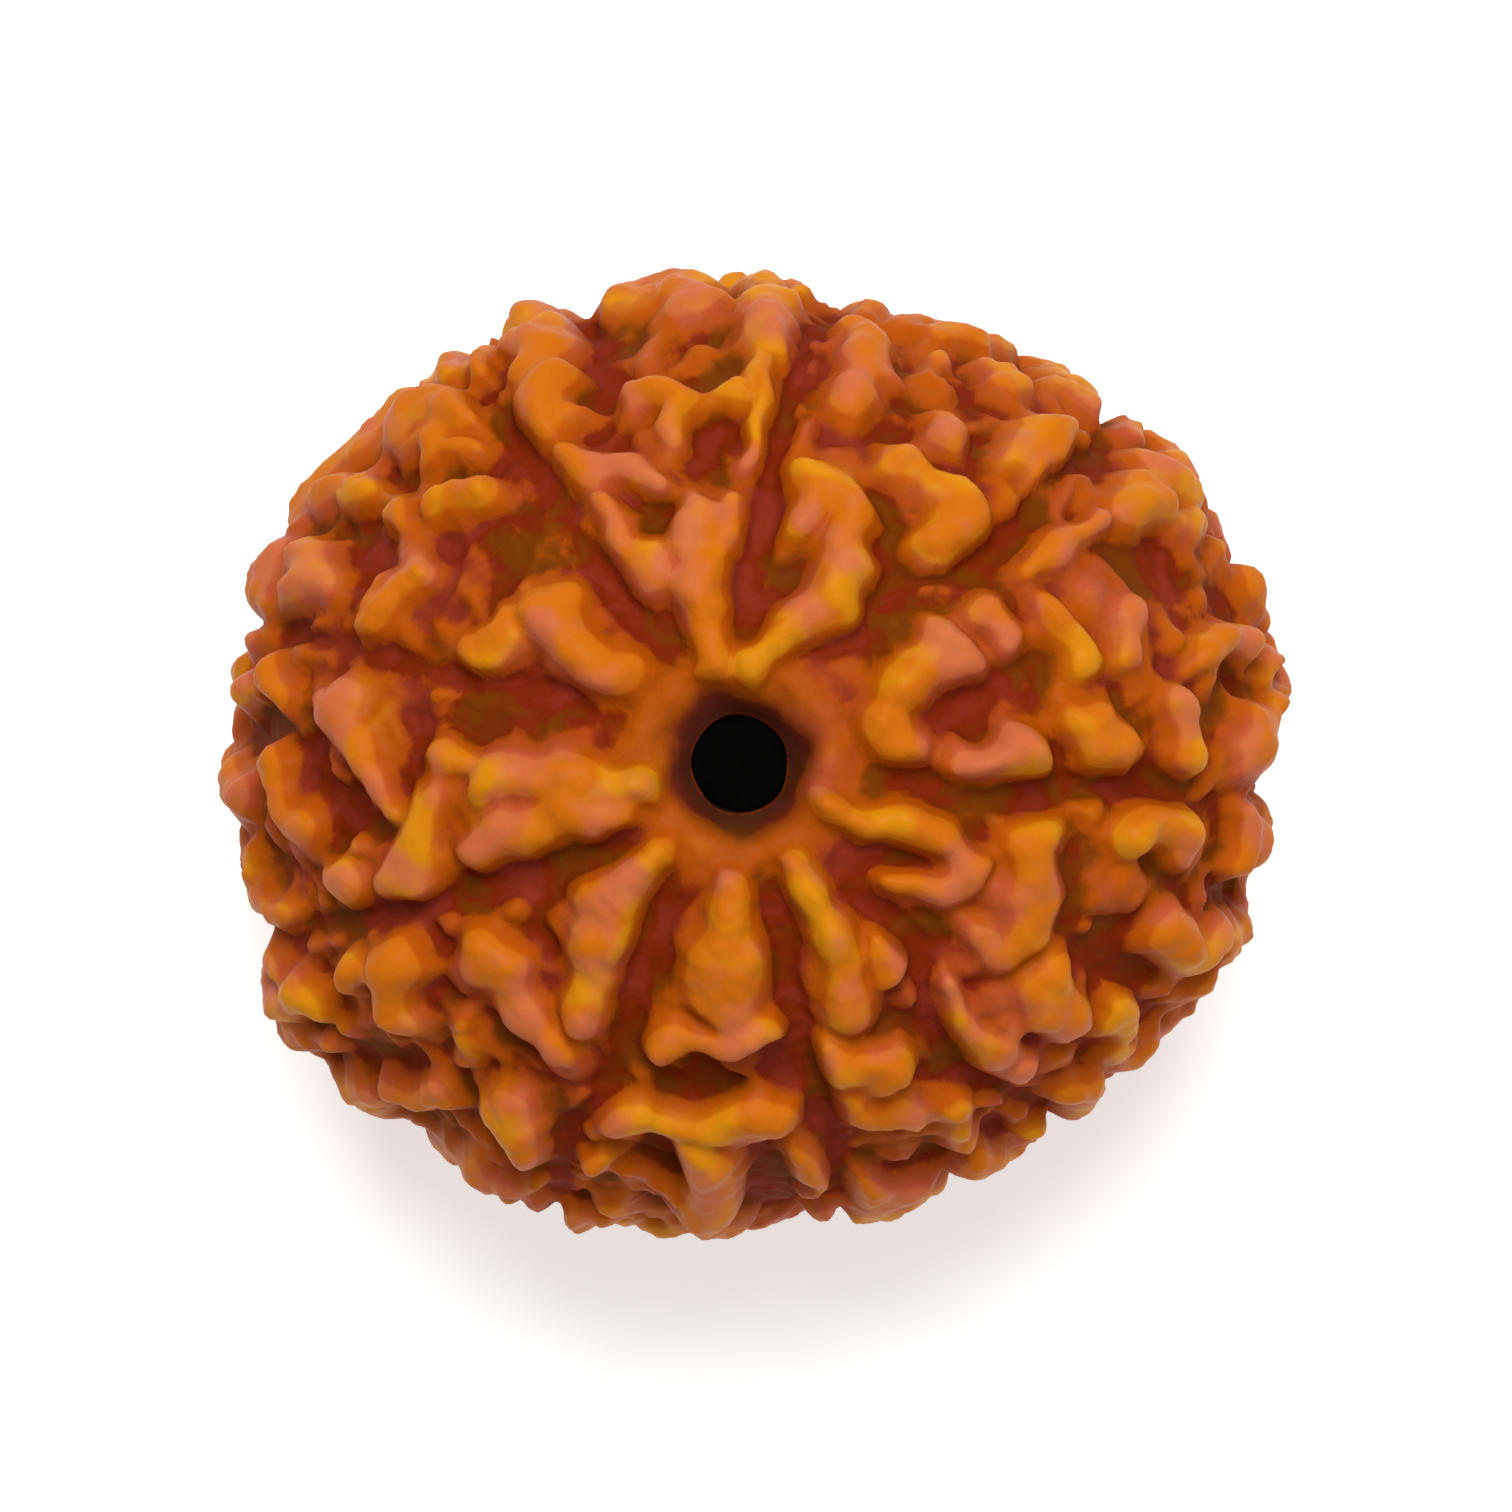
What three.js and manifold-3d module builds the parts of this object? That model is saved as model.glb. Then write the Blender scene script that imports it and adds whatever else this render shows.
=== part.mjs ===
// A nine mukhi rudraksha: the stone of one fruit, with its natural hole, resting on one end of that hole.
// Millimetres, +Z up along the hole, +X along the longer side, origin on the surface it rests on.
import * as THREE from "three";
import { mergeVertices } from "three/addons/utils/BufferGeometryUtils.js";
import Module from "manifold-3d";

// The core is a rounded cushion that the ridges stand on. Its half sizes leave out the ridges.
const HALF_LENGTH = 12.35;
const HALF_WIDTH = 11.1;
const HALF_HEIGHT = 9.1;
const ROUNDNESS = 2.2; // 2 is an ellipsoid, and more is squarer at the shoulder
const CREST = 0.75; // how far the middle of a ridge's visible face stands out from the core
const SHADE_SHIFT = -0.3; // in y, from a ridge's bright side, or a hollow's dark side, to its middle
const RISE = 1.2; // the height of a ridge of height 1 in the lists below
const WIDEN = 1.14; // how much wider each ridge is than its half width in the lists
const HOLE_X = -0.4; // the hole's axis, off the middle of the bead's length and width
const HOLE_Y = -0.2;
const FOOT_DROP = 9.65; // the flat that it rests on, below the middle of the core

// The surface dips at each mouth into a bore that is round enough for a thread.
const BORE_RADIUS = 1.2;
const BORE_SIDES = 28;
const MOUTH_RADIUS = 1.6; // where the dip is half its depth
const MOUTH_DIP = 1.9;
const MOUTH_FALL = 6; // how steeply it dips
const MOUTH_CHANGE = 0.07; // the share by which it is out of round
const COLLAR_RADIUS = 2.7; // the smooth disc round each mouth, where the ribs run together
const COLLAR_HEIGHT = 0.9;
const COLLAR_FALL = 5; // how steeply it ends

const GROOVE_HALF_WIDTH = 0.3; // of a mukhi line
const GROOVE_DEPTH = 0.25; // below the core
const GROOVE_CUT = 0.5; // the share of a ridge's height that a line takes away
const GROOVE_CHANGE = 0.4; // the share by which a line widens and thins along its way
const HOLLOW_ROUND = 4; // how flat the floor of a line or hollow is, and how steep its sides
const PEBBLE_HEIGHT = 0.5; // of the low bumps in the valleys
const WIDTH_CHANGE = 0.15; // the share by which a ridge widens and thins along its way
const HEIGHT_CHANGE = 0.1;
const BLEND = 0.22; // how softly one ridge runs into the next
const FACETS = 22; // how finely the surface is divided
const EVEN_POINTS = 6; // round each corner of a facet, where the relief is averaged
const EVEN_REACH = 0.12;
const SETTLE_STEP = 0.15; // how far off the relief is read for its slope
const SETTLE_REACH = 0.3; // how far a corner may be from the crest that it settles on
const SETTLE_SHARE = 0.8; // how much of that way it moves
const FLAT_SLOPE = 0.05; // under this slope a corner stays where it is

// Where the core swells or draws in: middle angle and spread in degrees, and how far.
const SWELLS = [
  [27, 13, 0.2],
  [66, 14, -0.4],
  [140, 12, -0.25],
  [214, 12, 0.75],
  [244, 9, 0.8],
  [301, 15, -0.5],
  [324, 11, -0.45],
  [352, 8, -0.3],
];

// The nine lines from the upper mouth to the rim, as x, y of each point seen from above.
const MUKHI_LINES = [
  [-1.7, 2.3, -2.9, 3.4, -4.3, 5.2, -5.1, 6.8, -6.3, 8.2, -6.6, 9.6, -6.7, 10.6],
  [-0.4, 3.0, 0.0, 4.6, 0.3, 6.6, 0.7, 8.2, 1.1, 9.8, 1.5, 11.6],
  [1.2, 2.2, 2.6, 2.9, 3.3, 4.1, 4.6, 4.3, 6.2, 5.3, 7.0, 6.6, 8.2, 7.3, 8.8, 8.7],
  [2.0, -0.3, 3.6, -0.5, 5.0, -0.9, 7.4, -0.7, 9.8, -0.7, 12.6, -0.5],
  [1.9, -2.0, 2.9, -3.6, 4.0, -4.6, 4.1, -6.3, 4.7, -7.5, 6.0, -8.1, 7.3, -8.4, 7.6, -9.5],
  [0.3, -2.9, 0.6, -4.2, 0.9, -6.2, 1.2, -7.3, 1.6, -8.6, 1.9, -9.9, 2.1, -11.7],
  [-1.9, -3.0, -2.5, -4.4, -3.0, -6.2, -3.4, -7.6, -4.7, -9.2, -4.9, -10.4, -5.0, -11.5],
  [-3.0, -1.9, -4.8, -2.7, -6.3, -3.2, -8.2, -3.7, -10.2, -4.0, -12.2, -4.5],
  [-3.0, 0.9, -4.9, 1.5, -6.8, 1.8, -8.8, 2.4, -10.9, 2.9, -12.5, 3.2],
];

// The ridges of the upper half, as [half width, height, then x, y of each point along the crest].
const RIDGES = [
  // Between lines 1 and 2
  [0.62, 1.00, -1.2, 2.6, -1.2, 4.0, -1.5, 5.3, -1.1, 6.2],
  [0.42, 0.85, -0.7, 5.8, -0.6, 6.7],
  [0.48, 0.85, -2.4, 4.8, -3.1, 5.5, -3.6, 6.6],
  [0.45, 0.90, -4.6, 7.7, -3.7, 7.4, -2.6, 7.1],
  [0.80, 1.25, -5.5, 10.8, -5.3, 9.8, -5.2, 8.8],
  [0.48, 1.50, -6.7, 10.5, -6.6, 9.5],
  [0.48, 1.00, -3.1, 9.2, -1.9, 9.2, -0.6, 9.2],
  [0.42, 0.90, -1.8, 9.0, -2.1, 8.3],
  [0.85, 1.10, -3.3, 11.3, -2.3, 11.6, -1.5, 11.3],
  [0.32, 0.35, -2.9, 10.1, -1.3, 10.1],
  [0.40, 0.50, -0.8, 11.5, -0.7, 10.8],
  // Between lines 2 and 3
  [0.58, 0.95, -0.1, 2.6, 1.0, 3.5, 2.0, 4.3],
  [0.68, 1.05, 2.0, 4.3, 2.1, 5.6, 2.0, 7.0],
  [0.50, 0.95, 1.3, 7.3, 1.3, 6.0],
  [0.60, 0.95, 3.7, 7.6, 4.7, 6.9, 5.3, 6.3],
  [0.62, 1.05, 5.2, 6.2, 4.6, 5.6],
  [0.40, 0.80, 4.6, 5.5, 4.2, 4.9],
  [0.45, 0.95, 4.8, 8.6, 4.7, 8.0],
  [0.75, 1.00, 2.7, 10.6, 2.3, 9.4],
  [0.40, 0.75, 4.4, 10.0, 4.4, 9.6],
  [0.60, 0.95, 4.4, 10.5, 5.3, 10.4, 6.2, 10.2],
  [0.55, 0.85, 6.1, 9.7, 6.8, 8.7],
  [0.82, 1.10, 7.2, 8.2, 7.2, 7.5],
  [0.50, 0.50, 6.2, 7.0, 6.6, 6.1],
  [0.60, 0.75, 7.4, 9.4, 8.1, 9.1],
  [0.75, 1.15, 0.4, 11.3, 0.5, 10.5],
  [0.36, 0.85, 0.1, 10.2, 0.1, 8.8, -0.1, 7.7],
  [0.40, 0.50, 0.8, 7.6, 1.2, 8.6],
  // Between lines 3 and 4
  [0.62, 1.00, 3.6, 0.4, 3.3, 1.4, 4.1, 2.3, 5.1, 2.9],
  [0.75, 1.05, 5.7, -0.1, 6.4, 0.4, 6.8, 0.3],
  [0.45, 0.75, 5.7, 3.9, 6.3, 3.3],
  [0.55, 0.90, 7.4, 3.8, 8.2, 2.6],
  [0.65, 0.80, 9.2, 3.7, 9.4, 2.9],
  [0.65, 1.00, 8.4, 1.1, 8.8, 0.4],
  [0.50, 0.95, 10.7, 1.5, 10.8, 0.2],
  [0.50, 0.90, 11.2, 2.9, 12.2, 3.2],
  [0.80, 0.95, 12.7, 1.4, 12.4, 0.3],
  [0.42, 0.90, 6.8, 5.0, 7.6, 5.6, 8.5, 6.1],
  [0.50, 0.90, 12.3, 4.4, 12.6, 3.7],
  [0.45, 0.70, 10.5, 5.8, 10.9, 5.4],
  [0.80, 1.10, 9.3, 6.5, 10.1, 7.0],
  [0.55, 0.80, 10.5, 6.1, 11.0, 6.0],
  [0.60, 0.85, 10.0, 8.2, 11.0, 7.3],
  [0.40, 0.45, 7.8, 1.9, 8.6, 1.8],
  [0.40, 0.45, 9.6, 2.0, 10.2, 2.2],
  [0.60, 0.65, 8.3, 4.3, 8.9, 3.5],
  // Between lines 4 and 5
  [0.50, 0.95, 1.9, -1.0, 3.6, -1.3, 4.8, -1.8, 5.4, -2.5],
  [0.45, 0.85, 3.1, -2.9, 4.5, -3.1, 5.3, -2.7],
  [0.74, 1.00, 7.0, -1.9, 7.0, -3.0, 6.8, -4.2],
  [0.45, 0.75, 6.1, -3.0, 6.2, -3.4],
  [0.75, 1.15, 7.2, -5.5, 7.5, -6.2],
  [0.50, 0.80, 5.7, -4.2, 6.3, -4.8],
  [0.50, 0.80, 4.8, -5.5, 5.3, -6.6, 6.0, -7.1],
  [0.50, 0.80, 6.0, -7.2, 6.9, -7.6],
  [0.60, 0.70, 6.2, -5.9, 6.4, -6.7],
  [0.55, 1.05, 9.3, -1.6, 10.6, -1.6],
  [0.40, 0.80, 10.6, -1.8, 10.6, -2.2],
  [0.55, 0.60, 9.4, -2.7, 9.6, -3.4],
  [0.75, 0.95, 10.3, -4.3, 11.5, -4.5],
  [0.50, 0.90, 12.3, -1.3, 12.1, -2.5],
  [0.60, 0.85, 9.1, -6.2, 9.4, -6.7],
  [0.50, 0.75, 9.2, -7.2, 10.0, -7.1],
  [0.50, 0.50, 10.9, -6.5, 11.3, -6.1],
  [0.60, 0.85, 7.9, -8.4, 8.6, -8.1],
  [0.40, 0.45, 8.6, -1.2, 8.9, -3.3],
  [0.33, 0.70, 6.0, -8.6, 6.4, -8.6],
  // Between lines 5 and 6
  [0.60, 0.95, 0.9, -2.6, 1.6, -3.5, 2.1, -4.8, 2.4, -6.2],
  [0.38, 0.85, 3.0, -4.4, 3.3, -5.3],
  [0.58, 1.05, 2.2, -7.5, 3.4, -7.5],
  [0.45, 0.80, 2.6, -7.9, 2.5, -8.8],
  [0.55, 0.85, 2.9, -8.8, 4.2, -8.7, 5.0, -8.7],
  [0.45, 0.75, 5.0, -8.8, 5.3, -9.9],
  [0.45, 0.80, 1.3, -9.9, 1.5, -11.0],
  [0.75, 0.85, 3.1, -10.6, 3.7, -10.9],
  [0.50, 0.60, 5.5, -10.3, 6.4, -9.8],
  // Between lines 6 and 7
  [0.55, 0.95, -0.6, -2.9, -0.8, -4.3],
  [0.95, 1.00, -0.8, -4.8, -0.9, -6.0],
  [0.45, 0.95, -2.3, -7.0, -0.8, -6.9, 0.4, -6.6],
  [0.60, 0.95, -3.3, -9.0, -1.4, -9.0, 0.6, -8.9],
  [0.45, 0.75, -0.8, -9.5, 0.3, -9.2],
  [0.75, 1.10, -1.2, -9.8, -1.2, -11.5],
  [0.42, 0.90, -3.2, -10.3, -2.2, -11.0],
  [0.45, 0.70, -4.4, -11.4, -3.6, -11.7],
  [0.45, 0.60, -4.2, -8.7, -4.0, -9.4],
  [0.45, 1.00, -4.0, -10.2, -3.2, -10.3],
  // Between lines 7 and 8
  [0.62, 1.00, -2.7, -2.3, -3.6, -3.6, -4.1, -4.8, -4.5, -6.2],
  [0.62, 0.95, -6.9, -4.5, -6.4, -5.2, -5.5, -6.4, -5.2, -6.7],
  [0.75, 1.15, -9.1, -4.9, -9.1, -6.0],
  [0.48, 0.95, -10.2, -5.2, -9.4, -5.3],
  [0.60, 1.00, -12.1, -5.6, -11.4, -5.7],
  [0.60, 0.75, -11.9, -6.5, -10.9, -7.3],
  [0.40, 0.65, -7.4, -6.5, -7.3, -7.6],
  [0.68, 0.85, -9.3, -8.3, -8.1, -8.3],
  [0.50, 0.70, -9.0, -9.1, -7.8, -9.7],
  [0.82, 0.95, -6.2, -8.5, -5.9, -9.6],
  [0.50, 0.75, -6.7, -10.6, -5.5, -11.0],
  // Between lines 8 and 9
  [0.68, 1.00, -3.0, -0.4, -4.6, -0.1, -6.6, -0.2],
  [0.72, 1.00, -3.4, -1.2, -5.0, -1.2, -6.5, -1.7],
  [0.50, 0.85, -7.9, 0.4, -7.4, 0.3],
  [0.60, 0.65, -7.7, -0.4, -6.9, -0.9],
  [0.75, 0.95, -10.5, 1.6, -10.0, 0.7],
  [0.55, 0.85, -12.1, 2.4, -12.0, 1.9],
  [0.50, 0.70, -13.1, 1.4, -13.2, -0.6],
  [0.60, 0.85, -12.1, 0.0, -11.9, -0.9, -11.3, -1.4],
  [0.38, 0.80, -9.8, 0.2, -9.4, -0.5, -9.1, -1.1],
  [0.68, 0.90, -8.1, -1.1, -8.5, -2.0, -9.0, -2.8],
  [0.58, 0.85, -10.4, -2.8, -10.2, -3.0],
  [0.30, 0.60, -10.1, -1.9, -10.1, -2.0],
  [0.50, 0.80, -12.7, -2.1, -12.6, -3.2, -11.9, -3.7],
  [0.40, 0.50, -7.5, -0.9, -7.6, -1.6],
  [0.22, 0.50, -8.1, 1.9, -7.2, 1.7, -6.2, 1.7],
  // Between lines 9 and 1
  [0.80, 1.10, -3.8, 2.3, -4.6, 3.1, -5.2, 3.9],
  [0.40, 0.75, -5.4, 4.2, -5.7, 4.5],
  [0.62, 0.90, -6.8, 2.7, -6.3, 3.4],
  [0.48, 0.85, -9.8, 3.4, -9.1, 4.2, -8.3, 4.9],
  [0.85, 1.10, -12.0, 4.6, -10.8, 4.9],
  [1.10, 1.12, -11.2, 6.4, -10.2, 7.6, -8.9, 8.4],
  [0.90, 1.00, -9.8, 6.8, -9.1, 7.5, -8.0, 8.0],
  [0.85, 1.25, -8.4, 8.4, -6.9, 8.8],
  [0.68, 1.20, -7.5, 10.3, -7.3, 9.5],
  [0.50, 1.05, -7.9, 6.5, -7.4, 6.75, -6.8, 6.9],
  [0.50, 0.75, -9.2, 7.0, -8.8, 6.0, -8.5, 5.2],
  [0.40, 0.95, -7.9, 7.9, -6.9, 7.8],
  [0.50, 0.55, -10.5, 6.2, -10.9, 5.6],
];

// Pits and slits between them, as [half width, depth, then x, y of each point].
const HOLLOWS = [
  [0.65, 0.75, -9.8, 5.6, -9.5, 5.0],
  [0.60, 0.30, -7.3, 5.3, -6.1, 4.9],
  [0.42, 0.85, -8.6, 6.9, -8.1, 6.9],
  [0.50, 0.50, -5.8, 6.6, -5.6, 5.6],
  [0.25, 0.45, -7.8, 7.15, -6.3, 7.2],
  [0.28, 0.60, 2.7, -2.15, 4.2, -2.3],
  [0.50, 0.60, 5.2, 1.6, 5.3, 1.0],
  [0.50, 0.60, -10.2, -7.2, -8.4, -7.2],
  [0.38, 0.70, -2.2, -8.0, -0.9, -7.7, 0.9, -7.5],
  [0.30, 0.60, 11.5, 2.0, 12.4, 2.2],
  [0.62, 0.70, 8.4, -4.2, 9.4, -5.1],
  [0.40, 0.50, 10.5, -5.5, 10.7, -5.9],
  [0.35, 0.85, 2.4, -9.7, 4.4, -9.6],
  [0.38, 0.80, 5.8, -9.0, 6.7, -9.0],
  [0.35, 0.90, -3.3, -9.6, -2.0, -9.8],
  [0.38, 0.90, -4.6, -10.7, -3.1, -10.8, -2.7, -11.6],
  [0.50, 0.50, -1.2, 7.6, -0.8, 8.2],
  [0.52, 0.85, -4.0, 10.3, -3.9, 9.6, -3.8, 8.7],
  [0.70, 0.50, 9.2, 5.0, 10.2, 4.9],
  [0.45, 0.55, 11.2, 4.9, 11.3, 4.0],
  [0.48, 0.90, 0.2, -10.0, 0.6, -11.2],
  [0.45, 0.50, 5.8, 8.5, 5.9, 7.9],
  [0.40, 0.50, -5.2, 1.7, -7.0, 1.6],
  [0.30, 0.50, -8.3, 1.1, -6.4, 1.0],
  [0.30, 0.50, 5.3, -0.75, 6.9, -0.75],
  [0.40, 0.50, -6.8, -2.8, -5.2, -2.8],
  [0.40, 0.40, 6.9, -8.5, 7.3, -8.3],
  [0.50, 0.75, -12.4, 1.2, -11.6, 1.0],
  [0.48, 0.85, -10.8, 0.1, -10.4, -0.7, -9.9, -1.3],
  [0.40, 0.50, 11.1, -2.9, 12.0, -3.1],
  [0.40, 0.40, -3.1, 6.3, -2.4, 6.0],
];

// Knobs on the rim, as [angle in degrees, half width, height, slant, half length down the side].
const RIM_KNOBS = [
  [9, 0.85, 1.05, 0.1, 1.2],
  [20, 0.65, 0.9, -0.3, 0.9],
  [33, 0.75, 0.95, 0.2, 1.1],
  [42, 0.5, 0.8, 0.1, 0.9],
  [49, 0.7, 0.8, 0.5, 1.0],
  [66, 0.8, 0.75, -0.5, 1.0],
  [74, 0.5, 0.7, 0.1, 0.8],
  [83, 0.5, 0.9, 0.0, 0.9],
  [88, 0.65, 0.85, 0.0, 1.2],
  [99, 0.8, 0.9, 0.3, 1.1],
  [104, 0.6, 0.8, -0.4, 0.8],
  [114, 0.7, 0.75, 0.0, 1.3],
  [129, 0.75, 0.9, -0.2, 1.0],
  [138, 0.6, 0.6, 0.3, 0.8],
  [147, 0.75, 1.0, 0.1, 1.1],
  [160, 0.85, 1.0, -0.4, 1.0],
  [173, 0.7, 0.9, 0.2, 1.1],
  [182, 0.75, 0.95, 0.0, 1.0],
  [193, 0.7, 0.65, -0.2, 1.2],
  [205, 0.7, 0.95, 0.3, 1.0],
  [212, 0.6, 0.85, -0.1, 0.8],
  [221, 0.75, 0.9, 0.2, 1.1],
  [235, 0.75, 0.8, -0.3, 1.0],
  [249, 0.65, 0.95, 0.1, 0.9],
  [257, 0.75, 0.9, 0.4, 1.1],
  [267, 0.7, 0.9, -0.1, 0.9],
  [284, 0.6, 0.95, 0.2, 1.0],
  [288, 0.8, 0.9, -0.2, 1.1],
  [294, 0.6, 0.85, 0.1, 0.9],
  [302, 0.7, 0.95, 0.2, 0.9],
  [308, 0.5, 0.9, 0.1, 0.9],
  [313, 0.75, 0.9, -0.3, 1.2],
  [325, 0.7, 0.8, 0.3, 1.0],
  [333, 0.65, 0.85, -0.1, 0.9],
  [341, 0.75, 0.8, 0.2, 1.1],
  [352, 0.65, 0.9, 0.0, 1.0],
];
const RIM_POLAR = 86; // degrees from the top
const RIM_LONGER = 0.6; // what is added to each half length, to close up with the ridges above

// The lower half has rows of knobs in each field between two lines, and a rib at the lower mouth.
const ROWS = 5;
const FIRST_ROW = 102; // degrees from the top
const ROW_STEP = 10.5;
const KNOB_SPACING = 2.6; // along a row
const FIELD_MARGIN = 0.1; // of a field's width, kept clear at each line
const RIB_TURNS = [168, 160, 151]; // degrees from the top
const LINE_FIRST = 96; // where a line goes on below the rim, and by how much at a time
const LINE_STEP = 7;
const LINE_STEPS = 10;
const LINE_SWAY = [0.04, 0.09]; // in radians
const LINE_WAVE = 0.9; // radians of that swaying at each step
const SEED = 9;

// What is drawn for each knob of the lower half, least and most.
const KNOB_DRIFT = [-0.16, 0.16]; // along its row, as a share of the spacing
const KNOB_TILT = [-1.3, 1.3]; // radians from straight down the side
const KNOB_HALF_LENGTH = [0.25, 1.15];
const KNOB_CLIMB = [-2.5, 2.5]; // degrees off its row
const KNOB_HALF_WIDTH = [0.5, 0.8];
const KNOB_HEIGHT = [0.65, 1.05];
const RIB_DRIFT = [-0.08, 0.08]; // off the middle of its field, as a share of the width
const RIB_BEND = [-0.1, 0.1]; // in radians
const RIB_HALF_WIDTH = [0.6, 0.8];
const RIB_HEIGHT = [0.9, 1.0];

const SWAY = 0.16; // how far space is bent, so that no ridge is quite straight
const FINE_SWAY = 0.09;
const DOME_ROUND = 2.6; // how flat the top of a ridge is, and how steep its sides
const CLEARANCE = 5; // how far a cutting body reaches past the stone
const MERGED_WITHIN = 1e-5;

const FULL_TURN = 2 * Math.PI;
const radians = THREE.MathUtils.degToRad;

// A small random sequence that any language can repeat.
class Draws {
  constructor(seed) {
    this.state = seed;
  }
  between([low, high]) {
    this.state = (this.state * 1664525 + 1013904223) % 4294967296;
    return low + ((high - low) * this.state) / 4294967296;
  }
}

// Plan radius of the core from the hole's axis.
function outline(angle) {
  const c = Math.cos(angle);
  const s = Math.sin(angle);
  let radius = 1 / Math.hypot(c / HALF_LENGTH, s / HALF_WIDTH) - HOLE_X * c - HOLE_Y * s;
  for (const [middle, spread, out] of SWELLS) {
    const turn = THREE.MathUtils.euclideanModulo(THREE.MathUtils.radToDeg(angle) - middle + 180, 360) - 180;
    radius += out * Math.exp(-((turn / spread) ** 2));
  }
  return radius;
}

// The core's point at an angle round the hole and a polar angle from the top.
// Points on the core are measured from the middle of the core, on the hole's axis.
function around(angle, polar) {
  const edge = outline(angle);
  const s = Math.sin(polar);
  const c = Math.cos(polar);
  const size = (Math.abs(s) ** ROUNDNESS + Math.abs(c) ** ROUNDNESS) ** (-1 / ROUNDNESS);
  return new THREE.Vector3(
    edge * size * s * Math.cos(angle),
    edge * size * s * Math.sin(angle),
    HALF_HEIGHT * size * c,
  );
}

// The core's point under what is at x, y as seen from above, and stands out from the core by so much.
function under(x, y, lift) {
  const angle = Math.atan2(y - HOLE_Y, x - HOLE_X);
  const edge = outline(angle);
  const share = Math.min(1, Math.hypot(x - HOLE_X, y - HOLE_Y) / (edge + lift));
  return new THREE.Vector3(
    share * edge * Math.cos(angle),
    share * edge * Math.sin(angle),
    HALF_HEIGHT * (1 - share ** ROUNDNESS) ** (1 / ROUNDNESS),
  );
}

function pathOf(numbers, lift) {
  const path = [];
  for (let i = 0; i < numbers.length; i += 2) path.push(under(numbers[i], numbers[i + 1], lift));
  return path;
}

// Ridges and hollows bend with the space around them, and still pass through the points in the lists.
const upperRidges = (rows, lift) =>
  rows.map(([halfWidth, height, ...numbers]) => {
    const path = pathOf(numbers, lift).map((point) => swayed(point.setY(point.y + SHADE_SHIFT)));
    return { halfWidth, height, path };
  });

// The angle at which each line crosses the rim.
const lineAngles = MUKHI_LINES.map((line) => {
  const [x, y] = line.slice(-2);
  return Math.atan2(y - HOLE_Y, x - HOLE_X);
});

// Each line from mouth to mouth.
function mukhiPaths(draws) {
  return MUKHI_LINES.map((line, n) => {
    const path = pathOf(line, 0);
    const sway = draws.between(LINE_SWAY);
    const phase = draws.between([0, FULL_TURN]);
    for (let step = 1; step <= LINE_STEPS; step++) {
      const wobble = sway * (Math.sin(phase + LINE_WAVE * step) - Math.sin(phase));
      path.push(around(lineAngles[n] + wobble, radians(LINE_FIRST + LINE_STEP * step)));
    }
    return path;
  });
}

// A ridge of two points about a middle, tilted from straight down the side.
function knob(middle, polar, tilt, halfLength, halfWidth, height) {
  const across = (halfLength * Math.sin(tilt)) / (HALF_LENGTH * Math.sin(polar));
  const down = (halfLength * Math.cos(tilt)) / HALF_LENGTH;
  return {
    halfWidth,
    height,
    path: [around(middle - across, polar - down), around(middle + across, polar + down)],
  };
}

const rimKnobs = () =>
  RIM_KNOBS.map(([angle, halfWidth, height, tilt, halfLength]) =>
    knob(radians(angle), radians(RIM_POLAR), tilt, halfLength + RIM_LONGER, halfWidth, height),
  );

function lowerRidges(draws) {
  const made = [];
  lineAngles.forEach((start, n) => {
    const end = lineAngles[(n + 1) % lineAngles.length];
    const width = THREE.MathUtils.euclideanModulo(start - end, FULL_TURN);
    for (let row = 0; row < ROWS; row++) {
      const polar = FIRST_ROW + ROW_STEP * row;
      const span = width * HALF_LENGTH * Math.sin(radians(polar));
      const count = Math.max(1, Math.round(span / KNOB_SPACING));
      for (let k = 0; k < count; k++) {
        const share = (k + 0.5 + draws.between(KNOB_DRIFT)) / count;
        const middle = start - width * (FIELD_MARGIN + (1 - 2 * FIELD_MARGIN) * share);
        const tilt = draws.between(KNOB_TILT);
        const halfLength = draws.between(KNOB_HALF_LENGTH);
        const here = radians(polar + draws.between(KNOB_CLIMB));
        const halfWidth = draws.between(KNOB_HALF_WIDTH);
        made.push(knob(middle, here, tilt, halfLength, halfWidth, draws.between(KNOB_HEIGHT)));
      }
    }
    const middle = start - width * (0.5 + draws.between(RIB_DRIFT));
    const bend = draws.between(RIB_BEND);
    made.push({
      halfWidth: draws.between(RIB_HALF_WIDTH),
      height: draws.between(RIB_HEIGHT),
      path: RIB_TURNS.map((turn, k) => around(middle + (k === 1 ? bend : 0), radians(turn))),
    });
  });
  return made;
}

const along = new THREE.Vector3();
const gap = new THREE.Vector3();

function distanceTo(path, point) {
  let nearest = Infinity;
  for (let i = 1; i < path.length; i++) {
    along.subVectors(path[i], path[i - 1]);
    gap.subVectors(point, path[i - 1]);
    const share = THREE.MathUtils.clamp(gap.dot(along) / along.lengthSq(), 0, 1);
    nearest = Math.min(nearest, gap.addScaledVector(along, -share).lengthSq());
  }
  return Math.sqrt(nearest);
}

// The larger of two heights, with the corner between them rounded.
function smoothMax(a, b, soft) {
  const overlap = Math.max(soft - Math.abs(a - b), 0) / soft;
  return Math.max(a, b) + (overlap * overlap * soft) / 4;
}

// Both are 1 at the middle and a half at t = 1.
const domed = (t) => Math.exp(-Math.LN2 * t ** DOME_ROUND);
const flatTopped = (t) => 1 / (1 + t ** HOLLOW_ROUND);

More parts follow.
